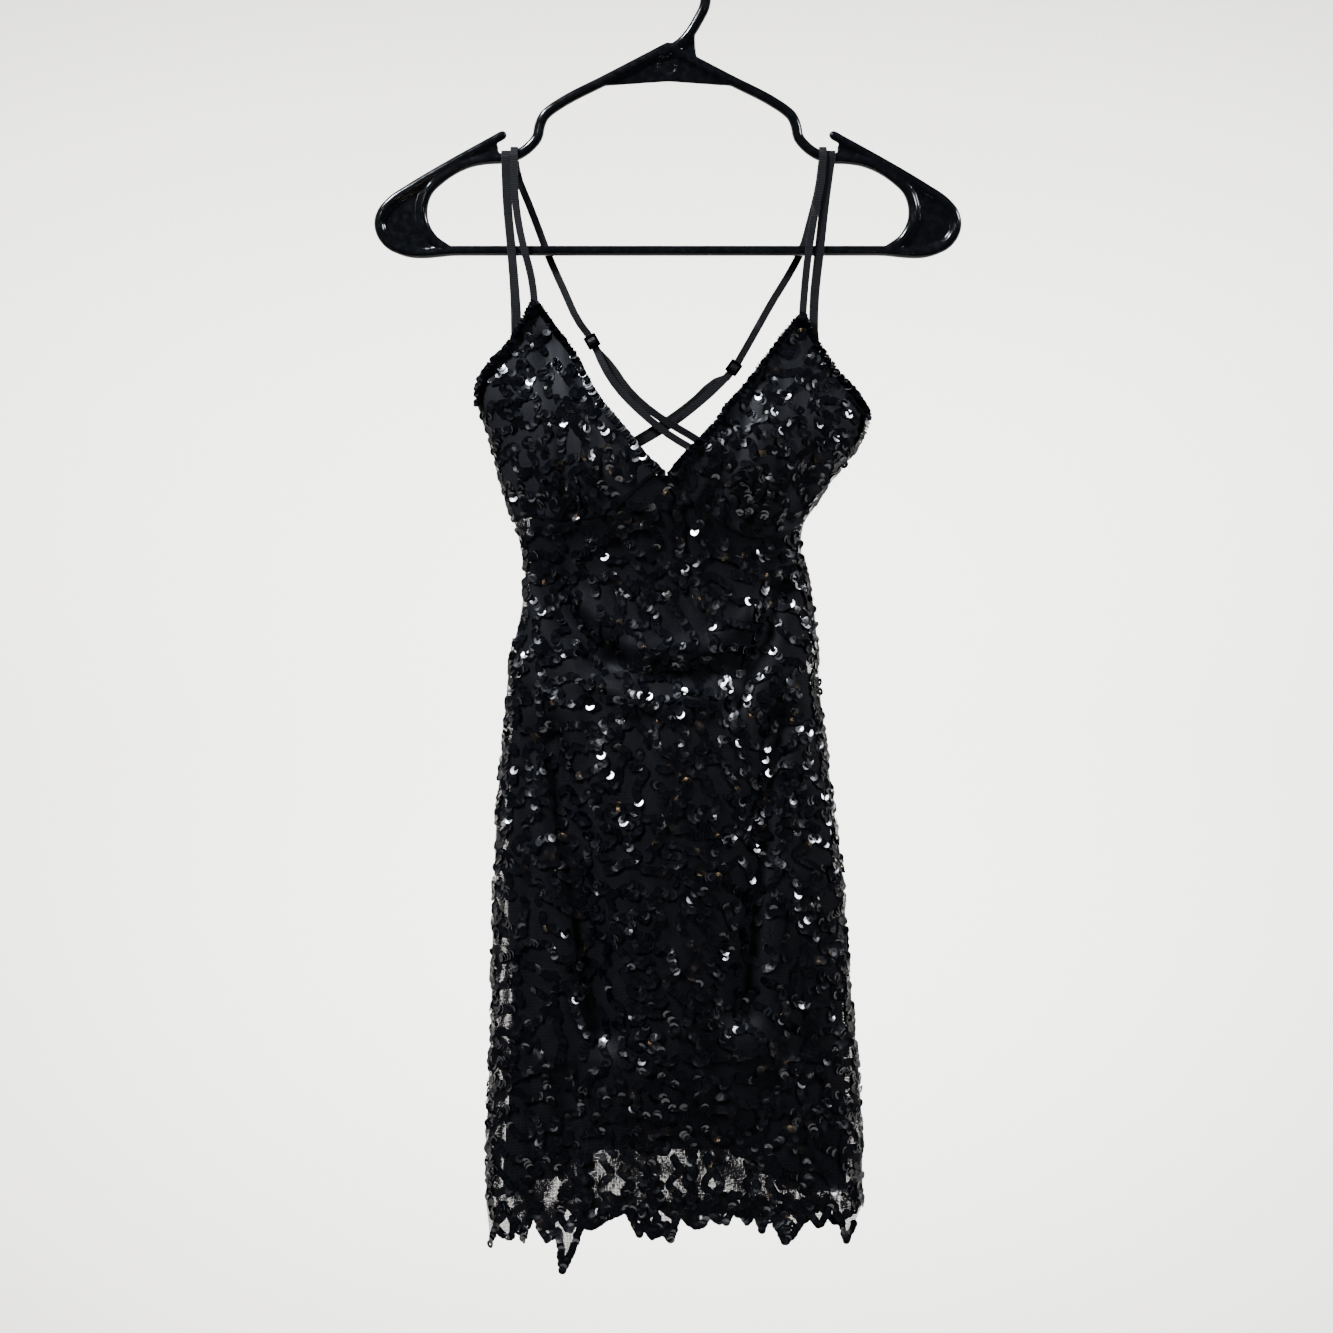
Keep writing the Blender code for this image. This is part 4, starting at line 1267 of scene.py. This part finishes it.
@dataclass(frozen=True)
class NetBody:
    """The front and back bodies: a sheet of net each, with its sequins."""

    embroidery: Embroidery
    fringe: Embroidery
    net: Material
    film: Material
    rows: SheetRows = SheetRows(
        columns=181, upper=12, level_from=-422.0, level_to=-872.0, step=3.2, hem_from=-872.0, lower=9,
        hem_read_at=-900.0,
    )
    mapped: tuple[float, float] = (-300.0, -945.0)
    under: float = 0.35
    flat_share: float = 0.9
    width: float = 168.0
    lowest: float = -940.0
    edge_margin: float = 3.4
    hem_margin: float = 2.6
    fringe_height: float = 12.0
    bare_from: float = -56.0
    bare_to: float = 73.0
    bare_above_hem: float = 13.0
    bare_below_lining: float = 2.0
    fringe_seed: int = 50
    seam_seed: int = 70
    seam_span: tuple[float, float] = (-425.0, -880.0)
    seam_u: float = 0.975
    seam_sway: float = 0.015
    seam_lengths: tuple[float, float] = (5.0, 16.0)
    seam_pauses: tuple[float, float] = (5.0, 13.0)
    vein_seed: int = 71
    vein_span: tuple[float, float] = (-848.0, -900.0)
    vein_above_hem: float = 5.0
    vein_sway: float = 2.8
    vein_drift: float = 1.5
    hem_inset: float = 2.4

    def sheet(self, cut: BodyCut) -> Object:
        """One sheet of net between a top edge and its ragged hem.

        Args:
            cut: Which body.

        Returns:
            The sheet.
        """
        surface = self.embroidery.form.surface(cut.side)
        top = partial(tucked if cut.side is Side.FRONT else edge_height, cut.top)
        u, z = self.rows.places(surface, top, cut.hem)
        points = surface(u, z) - normals(surface, u, z, cut.side) * self.under
        return sheet_mesh(cut.name + "_net", ClothMap(surface, *self.mapped), points, u, z)

    def ground(self, cut: BodyCut, cloth: ClothMap) -> list[SewnLine]:
        """The pattern, kept off the edges and out of the clear places above the hem.

        Args:
            cut: Which body.
            cloth: Its map.

        Returns:
            The sewn lines.
        """
        lines = []
        for line in self.embroidery.on_cloth(cloth, cut.side, self.width, cut.seed):
            x, z = line.centre[:, 0], line.centre[:, 2]
            hem = edge_height(cut.hem, x, straight=True)
            kept = (z < edge_height(cut.top, x) - self.edge_margin) & (z > hem + self.hem_margin)
            kept &= distance_to(cut.hem, x, z) > self.edge_margin
            bare = (x > self.bare_from) & (x < self.bare_to)
            bare &= z < edge_height(LINING_HEM, x, straight=True) - self.bare_below_lining
            kept &= ~(bare & (z > hem + self.bare_above_hem))
            for gap in HEM_GAPS:
                kept &= np.hypot((x - gap.x) / gap.half_width, (z - gap.z) / gap.half_height) > 1
            lines += line.kept(kept)
        return lines

    def hem_fringe(self, cut: BodyCut, cloth: ClothMap) -> list[SewnLine]:
        """Denser lines just above the hem's points.

        Args:
            cut: Which body.
            cloth: Its map.

        Returns:
            The sewn lines.
        """
        lines = []
        for line in self.fringe.on_cloth(cloth, cut.side, self.width, cut.seed + self.fringe_seed):
            x, z = line.centre[:, 0], line.centre[:, 2]
            hem = edge_height(cut.hem, x, straight=True)
            kept = (z < hem + self.fringe_height) & (z > hem + self.hem_margin)
            lines += line.kept(kept & (distance_to(cut.hem, x, z) > self.edge_margin))
        return lines

    def seams(self, side: Side) -> list[SewnLine]:
        """Short lengths of sequins down both side seams, which notch the outline.

        Args:
            side: Front or back.

        Returns:
            The sewn lines.
        """
        rng = np.random.default_rng(self.seam_seed)
        return [
            self.embroidery.sewn(side, edge * (self.seam_u + self.seam_sway * np.sin(run / 9.0)), run)
            for edge in (-1, 1)
            for run in self.embroidery.dashes(rng, *self.seam_span, self.seam_lengths, self.seam_pauses)
        ]

    def hem_line(self, cut: BodyCut) -> SewnLine:
        """Sequins that follow the ragged hem round its points."""
        inner = np.array(cut.hem[1:-1], float) + (0, self.hem_inset)
        return self.embroidery.sewn_along(cut.side, even(inner, self.embroidery.sewing.pitch))

    def veins(self, cut: BodyCut) -> list[SewnLine]:
        """Wandering lines down the open net above the hem, with clear net between them.

        Args:
            cut: Which body.

        Returns:
            The sewn lines.
        """
        rng = np.random.default_rng(self.vein_seed)
        lines = []
        for foot in HEM_VEINS if cut.side is Side.FRONT else HEM_VEINS[::2]:
            z = np.linspace(*self.vein_span, 60)
            sway = self.vein_sway * np.sin(z / rng.uniform(1.8, 3.4) + rng.uniform(0, 6.3))
            x = foot + (sway + self.vein_drift * np.sin(z / 6.0 + foot))
            line = even(np.stack([x, z], axis=1), self.embroidery.sewing.pitch)
            hem = edge_height(cut.hem, line[:, 0], straight=True)
            lines.append(self.embroidery.sewn_along(cut.side, line[line[:, 1] > hem + self.vein_above_hem]))
        return lines

    def build(self) -> list[Object]:
        """Both bodies and their sequins.

        Returns:
            The pieces.
        """
        pieces = []
        for cut in BODIES:
            net = enrol(self.sheet(cut), self.net, "sequin_net", cut.name + "_panel")
            cloth = ClothMap(self.embroidery.form.surface(cut.side), cut.highest, self.lowest)
            lines = self.ground(cut, cloth)
            if cut.side is Side.FRONT:
                lines += self.hem_fringe(cut, cloth)
            lines += [*self.seams(cut.side), self.hem_line(cut), *self.veins(cut)]
            sequins = self.embroidery.sewing.mesh(cut.name + "_sequins", lines, cut.seed)
            enrol(sequins, self.film, "sequin_net")
            pieces += [net, sequins]
        return pieces


@dataclass(frozen=True)
class CupPair:
    """The two cups: backed net with sequins, and strings of sequins along their edges."""

    embroidery: Embroidery
    cloth: Material
    film: Material
    rows: int = 61
    columns: int = 56
    thickness: float = 1.5
    flat: tuple[float, float] = (0.16, 0.17)
    area: float = 0.0142
    foot_inset: float = 0.8
    width: float = 160.0
    span: tuple[float, float] = (-240.0, -415.0)
    edge_margin: float = 1.2
    neck_margin: float = 7.0
    armhole_margin: float = 6.0
    seam_foot: float = -396.0
    seam_margin: float = 6.0
    seam_inset: float = 1.6
    seam_lengths: tuple[float, float] = (5.0, 14.0)
    seam_pauses: tuple[float, float] = (5.0, 9.0)
    pattern_seed: int = 21
    sequin_seed: int = 30
    string_seed: int = 40
    seam_seed: int = 80
    string_pitch: float = 1.45
    string_inset: float = 2.4
    string_stand: float = 0.9
    string_rise: float = 2.0
    string_lean: float = 52.0
    calm_by: float = 23.0
    calm_fade: float = 0.06

    def grid(self, cup: CupEdges) -> Array:
        """The cup's outline filled in with points of the front plane.

        Args:
            cup: Which cup.

        Returns:
            Rows of points (x, z), from the seam under the bust up.
        """
        side_z = np.linspace(cup.seam_foot + 1, cup.seam_top, 6)[:-1]
        seam = np.stack([read(BODY, cup.name, side_z), side_z], axis=1)
        lower = along(np.concatenate([seam, [cup.armhole[0]]]), self.rows // 2 + 1)
        upper = along(np.array(cup.armhole), self.rows - self.rows // 2)
        outside = np.concatenate([lower[:-1], upper])
        inner = along(np.array(cup.neckline), self.rows)
        bottom_x = np.linspace(outside[0][0], inner[0][0], self.columns)
        bottom = np.stack([bottom_x, edge_height(UNDER_BUST, bottom_x) + self.foot_inset], axis=1)
        bottom[0], bottom[-1] = outside[0], inner[0]
        top = np.linspace(outside[-1], inner[-1], self.columns)
        s = np.linspace(0, 1, self.rows)[:, None, None]
        t = np.linspace(0, 1, self.columns)[None, :, None]
        ruled = (1 - s) * bottom[None] + s * top[None] + (1 - t) * outside[:, None] + t * inner[:, None]
        corner = (1 - s) * (1 - t) * bottom[0] + (1 - s) * t * bottom[-1] + s * (1 - t) * top[0] + s * t * top[-1]
        return ruled - corner

    def shell(self, cup: CupEdges) -> Object:
        """The cup's cloth as a closed wall.

        Args:
            cup: Which cup.

        Returns:
            The wall.
        """
        surface = self.embroidery.form.surface(Side.FRONT)
        flat = self.grid(cup)
        u, z = self.embroidery.form.place(flat[..., 0], flat[..., 1]), flat[..., 1]
        outer = surface(u, z)
        inner = outer - self.thickness * normals(surface, u, z, Side.FRONT)
        inner[..., 1] = np.minimum(inner[..., 1], -SEAM_GAP / 2)
        count = flat.shape[0] * flat.shape[1]
        faces = grid_faces(*flat.shape[:2])
        rim = np.concatenate([
            np.arange(self.columns),
            np.arange(1, self.rows) * self.columns + self.columns - 1,
            (self.rows - 1) * self.columns + np.arange(self.columns - 2, -1, -1),
            np.arange(self.rows - 2, 0, -1) * self.columns,
        ])
        after = np.roll(rim, -1)
        edge = np.stack([rim, rim + count, after + count, after], axis=1)
        faces = np.concatenate([faces, faces[:, ::-1] + count, edge])
        uv = np.concatenate([flat.reshape(-1, 2)] * 2) * MM
        points = np.concatenate([outer.reshape(-1, 3), inner.reshape(-1, 3)])
        return make_mesh(cup.name + "_cup_cloth", points, faces, uv)

    def ground(self, cup: CupEdges, lines: Sequence[SewnLine]) -> list[SewnLine]:
        """What lies on a cup of a pattern over both, kept clear of its edge strings.

        Args:
            cup: Which cup.
            lines: The pattern's sewn lines.

        Returns:
            The stretches on the cup.
        """
        g = self.grid(cup)
        border = np.concatenate([g[0], g[1:, -1], g[-1, ::-1][1:], g[::-1, 0][1:-1]])
        closed = [tuple(p) for p in np.concatenate([border, border[:1]])]
        kept: list[SewnLine] = []
        for line in lines:
            x, z = line.centre[:, 0], line.centre[:, 2]
            good = inside(border, x, z) & (distance_to(closed, x, z) > self.edge_margin)
            good &= distance_to(cup.neckline, x, z) > self.neck_margin
            good &= distance_to(cup.armhole, x, z) > self.armhole_margin
            kept += line.kept(good)
        return kept

    def seam(self, cup: CupEdges) -> list[SewnLine]:
        """Short lengths of sequins up the cup's side seam, which notch the outline.

        Args:
            cup: Which cup.

        Returns:
            The sewn lines.
        """
        rng = np.random.default_rng(self.seam_seed)
        top = cup.seam_top - self.seam_margin
        lines = []
        for run in self.embroidery.dashes(rng, self.seam_foot, top, self.seam_lengths, self.seam_pauses):
            x = read(BODY, cup.name, run) - cup.side * self.seam_inset
            lines.append(self.embroidery.sewn_along(Side.FRONT, np.stack([x, run], axis=1)))
        return lines

    def string(self, edge: Line, inward: int, calm: tuple[float, float] | None) -> SewnLine:
        """A string of sequins standing close together along an edge.

        Args:
            edge: The edge in the front plane.
            inward: Which side of it the cup lies on.
            calm: The shares of its length between which it turns to face out, or nothing.

        Returns:
            The sewn line.
        """
        surface = self.embroidery.form.surface(Side.FRONT)
        line = along(np.array(edge), max(8, int(length_of(np.array(edge)) / self.string_pitch)))[::-1]
        step = -np.gradient(line, axis=0)
        side = unit(np.stack([-step[:, 1], step[:, 0]], axis=1)) * inward
        line = line + side * self.string_inset
        u = self.embroidery.form.place(line[:, 0], line[:, 1])
        base, out = surface(u, line[:, 1]), normals(surface, u, line[:, 1], Side.FRONT)
        lean = np.full(len(line), np.radians(self.string_lean))
        if calm:
            share = np.linspace(0, 1, len(line))
            turned = np.clip((share - calm[0]) / self.calm_fade, 0, 1)
            turned = turned * np.clip((calm[1] - share) / self.calm_fade, 0, 1)
            lean = np.radians(self.string_lean - self.calm_by * turned)
        stand = self.string_stand + self.string_rise * np.sin(lean)
        return SewnLine(base + out * stand[:, None], np.gradient(base, axis=0), out, lean)

    def build(self) -> list[Object]:
        """Both cups, their sequins and their edge strings.

        Returns:
            The pieces.
        """
        pieces = []
        sewing = self.embroidery.sewing
        cloth = ClothMap(self.embroidery.form.surface(Side.FRONT), *self.span)
        lines = self.embroidery.on_cloth(cloth, Side.FRONT, self.width, self.pattern_seed)
        for cup in CUPS:
            shell = enrol(self.shell(cup), self.cloth, "sequin_net", cup.name + "_cup")
            kept = self.ground(cup, lines) + self.seam(cup)
            sequins = sewing.mesh(cup.name + "_cup_sequins", kept, self.sequin_seed + cup.side)
            enrol(sequins, self.film, "sequin_net")
            pieces += [shell, sequins]
            for name, edge, inward, calm in (
                ("neck", cup.neckline, -cup.side, cup.calm), ("armhole", cup.armhole, cup.side, None),
            ):
                sewn = [self.string(edge, inward, calm)]
                string = sewing.mesh(f"{cup.name}_{name}_string", sewn, self.string_seed)
                pieces.append(enrol(string, self.film, "sequin_string", f"{cup.name}_{name}_trim"))
        return pieces


@dataclass(frozen=True)
class LiningPair:
    """The front and back linings, each a thickened sheet that ends at its hem."""

    form: DressForm
    cloth: Material
    rows: SheetRows = SheetRows(
        columns=131, upper=16, level_from=LINING_TOP, level_to=-836.0, step=4.0, hem_from=-838.0, lower=10,
        hem_read_at=-870.0,
    )
    mapped: tuple[float, float] = (-314.0, -885.0)
    thickness: float = 0.4
    flat: tuple[float, float] = (0.30, 0.46)

    def build(self) -> list[Object]:
        """Both linings.

        Returns:
            The pieces.
        """
        pieces = []
        for side, name, top, hem in (
            (Side.FRONT, "front", UNDER_BUST, LINING_HEM), (Side.BACK, "back", BACK_NECK, BACK_LINING_HEM),
        ):
            surface = self.form.lining(side)
            v, z = self.rows.places(surface, partial(tucked, top), hem)
            cloth = ClothMap(surface, *self.mapped)
            sheet = sheet_mesh(name + "_lining_cloth", cloth, surface(v, z), v, z)
            thick = sheet.modifiers.new("cloth", "SOLIDIFY")
            thick.thickness, thick.offset = self.thickness * MM, 0.0
            enrol(sheet, self.cloth, "lining", name + "_lining")
            pieces.append(sheet)
        return pieces


# Hanger
ARM = (
    (-157, -206), (-168.5, -197.5), (-175, -185.5), (-175.6, -175), (-171.5, -163), (-163.5, -155),
    (-140, -142.3), (-125, -140.2), (-116, -139.8), (-109.9, -138.4), (-103.6, -135.2), (-97.2, -129.8),
    (-93.3, -124.6), (-91.8, -117), (-88.6, -109.6), (-83, -104.6), (-76, -100), (-45, -84), (-18, -70),
    (0, -60.6),
)
LOBE = (
    (-150, -206), (-190, -205.5), (-199, -201), (-205, -193), (-206.4, -186), (-204, -178),
    (-198.5, -171.5), (-184, -161.5), (-165, -150), (-150, -141.2), (-130, -129.9), (-118.5, -123.4),
)
LOBE_WEB = (
    (-184, -205), (-199, -200), (-205, -188), (-199, -173), (-165, -151), (-124, -127.5), (-121.4, -131),
    (-120.6, -139), (-140, -142.3), (-163, -155.5), (-171.5, -163), (-175.4, -175), (-174.6, -186),
    (-168, -197.5), (-157, -205),
)
CENTRE_WEB = (
    (-47, -88.3), (0, -85), (47, -88.3), (24, -74), (0, -62), (-24, -74),
)
HOOK_WEB = (
    (6, -60), (19, -48), (20.6, -70), (4, -64),
)
HOOK_STEM = ((-4, -64.5), (8, -58.5), (16, -50), (22, -40))


@dataclass(frozen=True)
class MouldedHanger:
    """The hanger as one moulding: round tube, filled ends and centre, and an open hook."""

    plastic: Material
    tube: float = 3.4
    arm: float = 3.95
    web: float = 2.4
    swell_from: float = 125.0
    swell_over: float = 40.0
    hook_radius: float = 27.2
    hook_degrees: tuple[float, float] = (-22.0, 177.0)
    dimple: float = 6.0
    dimple_height: float = -73.5
    dimple_depth: float = 0.55
    lip: float = 0.35
    voxel: float = 0.8
    sides: int = 20

    def rod(self, path: Array, radius: Array | float) -> tuple[Array, Faces]:
        """A round bar along a path in the hanger's plane, with rounded ends.

        Args:
            path: The bar's middle line.
            radius: Its radius, all along or at each point.

        Returns:
            Its points and faces.
        """
        lean = np.radians((80.0, 55.0, 28.0))
        radius = np.broadcast_to(radius, len(path))
        start = path[0] + unit(path[0] - path[1]) * radius[0] * np.sin(lean)[:, None]
        stop = path[-1] + unit(path[-1] - path[-2]) * radius[-1] * np.sin(lean[::-1])[:, None]
        path = np.concatenate([start, path, stop])
        radius = np.concatenate([radius[0] * np.cos(lean), radius, radius[-1] * np.cos(lean[::-1])])
        ahead = unit(np.gradient(path, axis=0))
        across = np.cross(ahead, (0.0, 1.0, 0.0))
        turn = np.arange(self.sides) * 2 * np.pi / self.sides
        ring = across[:, None] * np.cos(turn)[None, :, None] + np.array([0.0, 1, 0]) * np.sin(turn)[None, :, None]
        points = (path[:, None] + ring * radius[:, None, None]).reshape(-1, 3)
        last = (len(path) - 1) * self.sides
        faces = [tuple(range(self.sides))[::-1], tuple(range(last, last + self.sides))]
        for i in range(0, last, self.sides):
            for j in range(self.sides):
                k = (j + 1) % self.sides
                faces.append((i + j, i + k, i + self.sides + k, i + self.sides + j))
        return points, faces

    def plate(self, outline: Line, mirror: int) -> tuple[Array, Faces]:
        """A flat web of the hanger.

        Args:
            outline: Its outline in the hanger's plane.
            mirror: 1 for that outline, -1 for its mirror image.

        Returns:
            Its points and faces.
        """
        count = len(outline)
        near = [(mirror * x, -self.web / 2, z) for x, z in outline]
        far = [(mirror * x, self.web / 2, z) for x, z in outline]
        faces = [tuple(range(count)), tuple(range(count, 2 * count))[::-1]]
        faces += [(i, i + count, (i + 1) % count + count, (i + 1) % count) for i in range(count)]
        return np.array(near + far, float), faces

    @staticmethod
    def line(points: Line, count: int, mirror: int = 1) -> Array:
        """So many points along the smooth line through some of the hanger's plane, or its mirror image."""
        return along(np.array([(mirror * x, 0.0, z) for x, z in points]), count)

    def shapes(self) -> list[tuple[Array, Faces]]:
        """The bars and webs that the moulding is fused from.

        Returns:
            The points and faces of each.
        """
        turn = np.linspace(*np.radians(self.hook_degrees), 60)
        drop = -(self.hook_radius - self.tube)
        hook = np.stack([self.hook_radius * np.cos(turn), 0 * turn, drop + self.hook_radius * np.sin(turn)], axis=1)
        loop = np.concatenate([self.line(LOBE, 60)[::-1], self.line(LOBE, 60, -1)])
        swell = np.clip((np.abs(loop[:, 0]) - self.swell_from) / self.swell_over, 0, 1)
        shapes = [
            self.rod(loop, self.tube + (self.arm - self.tube) * swell),
            self.rod(np.concatenate([self.line(HOOK_STEM, 10), hook]), self.arm),
            self.plate(CENTRE_WEB, 1),
            self.plate(HOOK_WEB, 1),
        ]
        for mirror in (1, -1):
            shapes += [self.rod(self.line(ARM, 80, mirror), self.arm), self.plate(LOBE_WEB, mirror)]
        return shapes

    def build(self) -> list[Object]:
        """The whole hanger, fused and smoothed as a moulding is.

        Returns:
            The pieces.
        """
        points, faces, count = [], [], 0
        for shape_points, shape_faces in self.shapes():
            points.append(shape_points)
            faces += [tuple(i + count for i in face) for face in shape_faces]
            count += len(shape_points)
        mesh = bpy.data.meshes.new("hanger_moulding")
        mesh.from_pydata((np.concatenate(points) * MM).tolist(), [], faces)
        mesh.validate()
        self.face_outwards(mesh)
        obj = bpy.data.objects.new("hanger_moulding", mesh)
        bpy.context.scene.collection.objects.link(obj)
        fuse = obj.modifiers.new("fuse", "REMESH")
        fuse.mode, fuse.voxel_size, fuse.use_smooth_shade = "VOXEL", self.voxel * MM, True
        ease = obj.modifiers.new("ease", "SMOOTH")
        ease.factor, ease.iterations = 0.5, 5
        bpy.context.view_layer.update()
        made = bpy.data.meshes.new_from_object(obj.evaluated_get(bpy.context.evaluated_depsgraph_get()))
        obj.modifiers.clear()
        obj.data = made
        self.press_dimple(made)
        return [enrol(obj, self.plastic, "hanger_plastic", "hanger")]

    @staticmethod
    def face_outwards(mesh: bpy.types.Mesh) -> None:
        """Turn every face of a mesh outwards.

        Args:
            mesh: The mesh, which is changed.
        """
        work = bmesh.new()
        work.from_mesh(mesh)
        bmesh.ops.recalc_face_normals(work, faces=work.faces)
        work.to_mesh(mesh)
        work.free()

    def press_dimple(self, mesh: bpy.types.Mesh) -> None:
        """Press a round hollow with a raised lip into both faces of the centre web.

        Args:
            mesh: The hanger's mesh, which is changed.
        """
        points = np.empty(len(mesh.vertices) * 3)
        mesh.vertices.foreach_get("co", points)
        points = points.reshape(-1, 3) / MM
        far = np.hypot(points[:, 0], points[:, 2] - self.dimple_height) - self.dimple
        sink = self.dimple_depth / (1 + np.exp(far * 3)) - self.lip * np.exp(-(((far - 0.9) / 0.7) ** 2))
        flat = np.abs(points[:, 1]) < self.web
        points[:, 1] -= np.where(flat, np.sign(points[:, 1]) * sink, 0)
        mesh.vertices.foreach_set("co", (points * MM).ravel())
        mesh.update()


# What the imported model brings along
@dataclass(frozen=True)
class CarriedPieces:
    """Straps, sliders and hanger loops: their solids stay, a little fuller, with their own finishes."""

    nodes: dict[str, Object]
    strap: Material
    ribbon: Material
    slider: Material
    join: float = 0.01

    def build(self) -> list[Object]:
        """Dress the carried solids, fill them out to their seen size and soften their edges.

        Returns:
            The pieces.
        """
        pieces = []
        for name, material, edge, swell in (
            ("strap", self.strap, 0.3, 0.4),
            ("slider", self.slider, 0.2, 0.5),
            ("hanger_loop", self.ribbon, 0.25, 0.0),
        ):
            for obj in (self.nodes[f"{side}_{name}"] for side in ("left", "right")):
                dress(obj, material)
                obj.modifiers.new("joined faces", "WELD").merge_threshold = self.join * MM
                if swell:
                    full = obj.modifiers.new("full section", "DISPLACE")
                    full.strength, full.mid_level = swell * MM, 0.0
                soft = obj.modifiers.new("soft edges", "BEVEL")
                soft.width, soft.segments, soft.limit_method = edge * MM, 2, "ANGLE"
                pieces.append(obj)
        return pieces


# Studio
Place = tuple[float, float, float]


@dataclass(frozen=True)
class Lamp:
    """A square soft light: where it stands and aims, in metres, its edge, its watts and its colour."""

    name: str
    place: Place
    aim: Place
    size: float
    power: float
    tint: str = "#ffffff"

    def build(self, beam: float) -> None:
        """Light the lamp.

        Args:
            beam: How wide its beam is, in degrees.
        """
        data = bpy.data.lights.new(self.name, "AREA")
        data.size, data.energy, data.color = self.size, self.power, linear(self.tint)[:3]
        data.spread = math.radians(beam)
        obj = bpy.data.objects.new(self.name, data)
        obj.location = self.place
        obj.rotation_euler = (Vector(self.aim) - Vector(self.place)).to_track_quat("-Z", "Y").to_euler()
        bpy.context.scene.collection.objects.link(obj)


DRESS_MIDDLE = (0.0, 0.0, -0.5)
LAMPS = (
    Lamp("key_from_upper_left", (-1.6, -1.1, 1.6), DRESS_MIDDLE, 0.42, 38, "#f0f5ff"),
    Lamp("fill_from_the_right", (2.1, -0.8, 0.6), DRESS_MIDDLE, 0.45, 11, "#f0f5ff"),
    Lamp("window_glints", (-0.9, -2.3, 0.35), DRESS_MIDDLE, 0.1, 0.35),
    Lamp("second_glints", (1.1, -2.2, 0.1), DRESS_MIDDLE, 0.06, 0.09),
    Lamp("lamp_glints", (0.35, -2.3, -0.95), DRESS_MIDDLE, 0.035, 0.09, "#ffd9a8"),
    Lamp("wall_wash_left", (-1.7, 0.7, 0.6), (-0.2, 2.9, -0.6), 1.2, 66),
    Lamp("wall_wash_right", (1.7, 0.7, 0.6), (0.2, 2.9, -0.6), 1.2, 66),
)


@dataclass(frozen=True)
class Studio:
    """A pale floor that curves up into a wall, soft light and the camera, in metres."""

    paint: Material
    floor: float = -1.5
    wall: float = 2.9
    bend: float = 0.9
    height: float = 4.0
    distance: float = 2.4
    eye: tuple[float, float] = (-0.001, -0.5034)
    frame_width: float = 0.9538
    sensor: float = 36.0
    beam: float = 75.0
    apron: float = 0.7
    air: str = "#e6ecf5"
    air_strength: float = 0.06

    def cove(self) -> Object:
        """A floor, short in front so that it lights no sequin, and behind it a wall it curves up into.

        Returns:
            The cove.
        """
        turn = np.linspace(0, 2 * np.pi, 97)
        profile = [(0.001, 0.0), (self.apron, 0.0), (self.wall - self.bend, 0.0)]
        sweep = np.linspace(0.1, math.pi / 2, 12)
        profile += [(self.wall - self.bend * (1 - math.sin(a)), self.bend * (1 - math.cos(a))) for a in sweep]
        profile += [(self.wall, self.height)]
        rings = np.array([[(r * math.cos(a), r * math.sin(a), self.floor + h) for a in turn] for r, h in profile])
        faces = grid_faces(len(profile), len(turn))
        behind = turn[faces[:, 0] % len(turn)] < math.pi
        level = faces[:, 0] < len(turn)
        obj = make_mesh("studio_cove", rings.reshape(-1, 3) / MM, faces[behind | level])
        dress(obj, self.paint)
        return obj

    def camera(self) -> None:
        """Set the camera level in front of the dress."""
        camera = bpy.data.cameras.new("photo_camera")
        camera.sensor_width = self.sensor
        camera.lens = self.sensor * self.distance / self.frame_width
        obj = bpy.data.objects.new("photo_camera", camera)
        obj.location = (self.eye[0], -self.distance, self.eye[1])
        obj.rotation_euler = (math.pi / 2, 0, 0)
        bpy.context.scene.collection.objects.link(obj)
        bpy.context.scene.camera = obj

    def build(self) -> list[Object]:
        """Everything of the studio.

        Returns:
            The pieces.
        """
        cove = self.cove()
        for lamp in LAMPS:
            lamp.build(self.beam)
        world = bpy.data.worlds.new("studio_air")
        world.use_nodes = True
        background = world.node_tree.nodes["Background"]
        background.inputs[0].default_value = linear(self.air)
        background.inputs[1].default_value = self.air_strength
        bpy.context.scene.world = world
        self.camera()
        return [cove]


def main() -> None:
    """Build every piece in order and write how large the result is."""
    logging.basicConfig(level=logging.INFO, format="%(message)s")
    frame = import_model()
    form, film = DressForm(), SequinFilm()
    sewing = SequinSewing(film)
    wide, fine = (Embroidery(form, sewing, Vermicelli(wave=wave)) for wave in (30.0, 24.0))
    film_material, net = film.material(), Tulle().material()
    lining = LiningSatin().material()
    cup_cloth = LiningSatin("cup_net_over_foam_knit", "#08090d", "#111217", 1.1).material()
    strap = WovenBand("strap_woven_nylon", "#08080b", "#121216", 0.9, 0.5).material()
    ribbon = WovenBand("loop_satin_ribbon", "#09090c", "#131317", 0.7, 0.42).material()
    slider = MouldedPlastic("slider_moulded_acetal", "#040406", "#08080a", 0.85, 0.0).material()
    for part in (
        LiningPair(form, lining),
        CupPair(fine, cup_cloth, film_material),
        NetBody(wide, fine, net, film_material),
        MouldedHanger(MouldedPlastic().material()),
        CarriedPieces(frame["nodes"], strap, ribbon, slider),
        Studio(StudioPaint().material()),
    ):
        for piece in part.build():
            log.info("%s: %d faces", piece.name, len(piece.data.polygons))


if __name__ == "__main__":
    main()
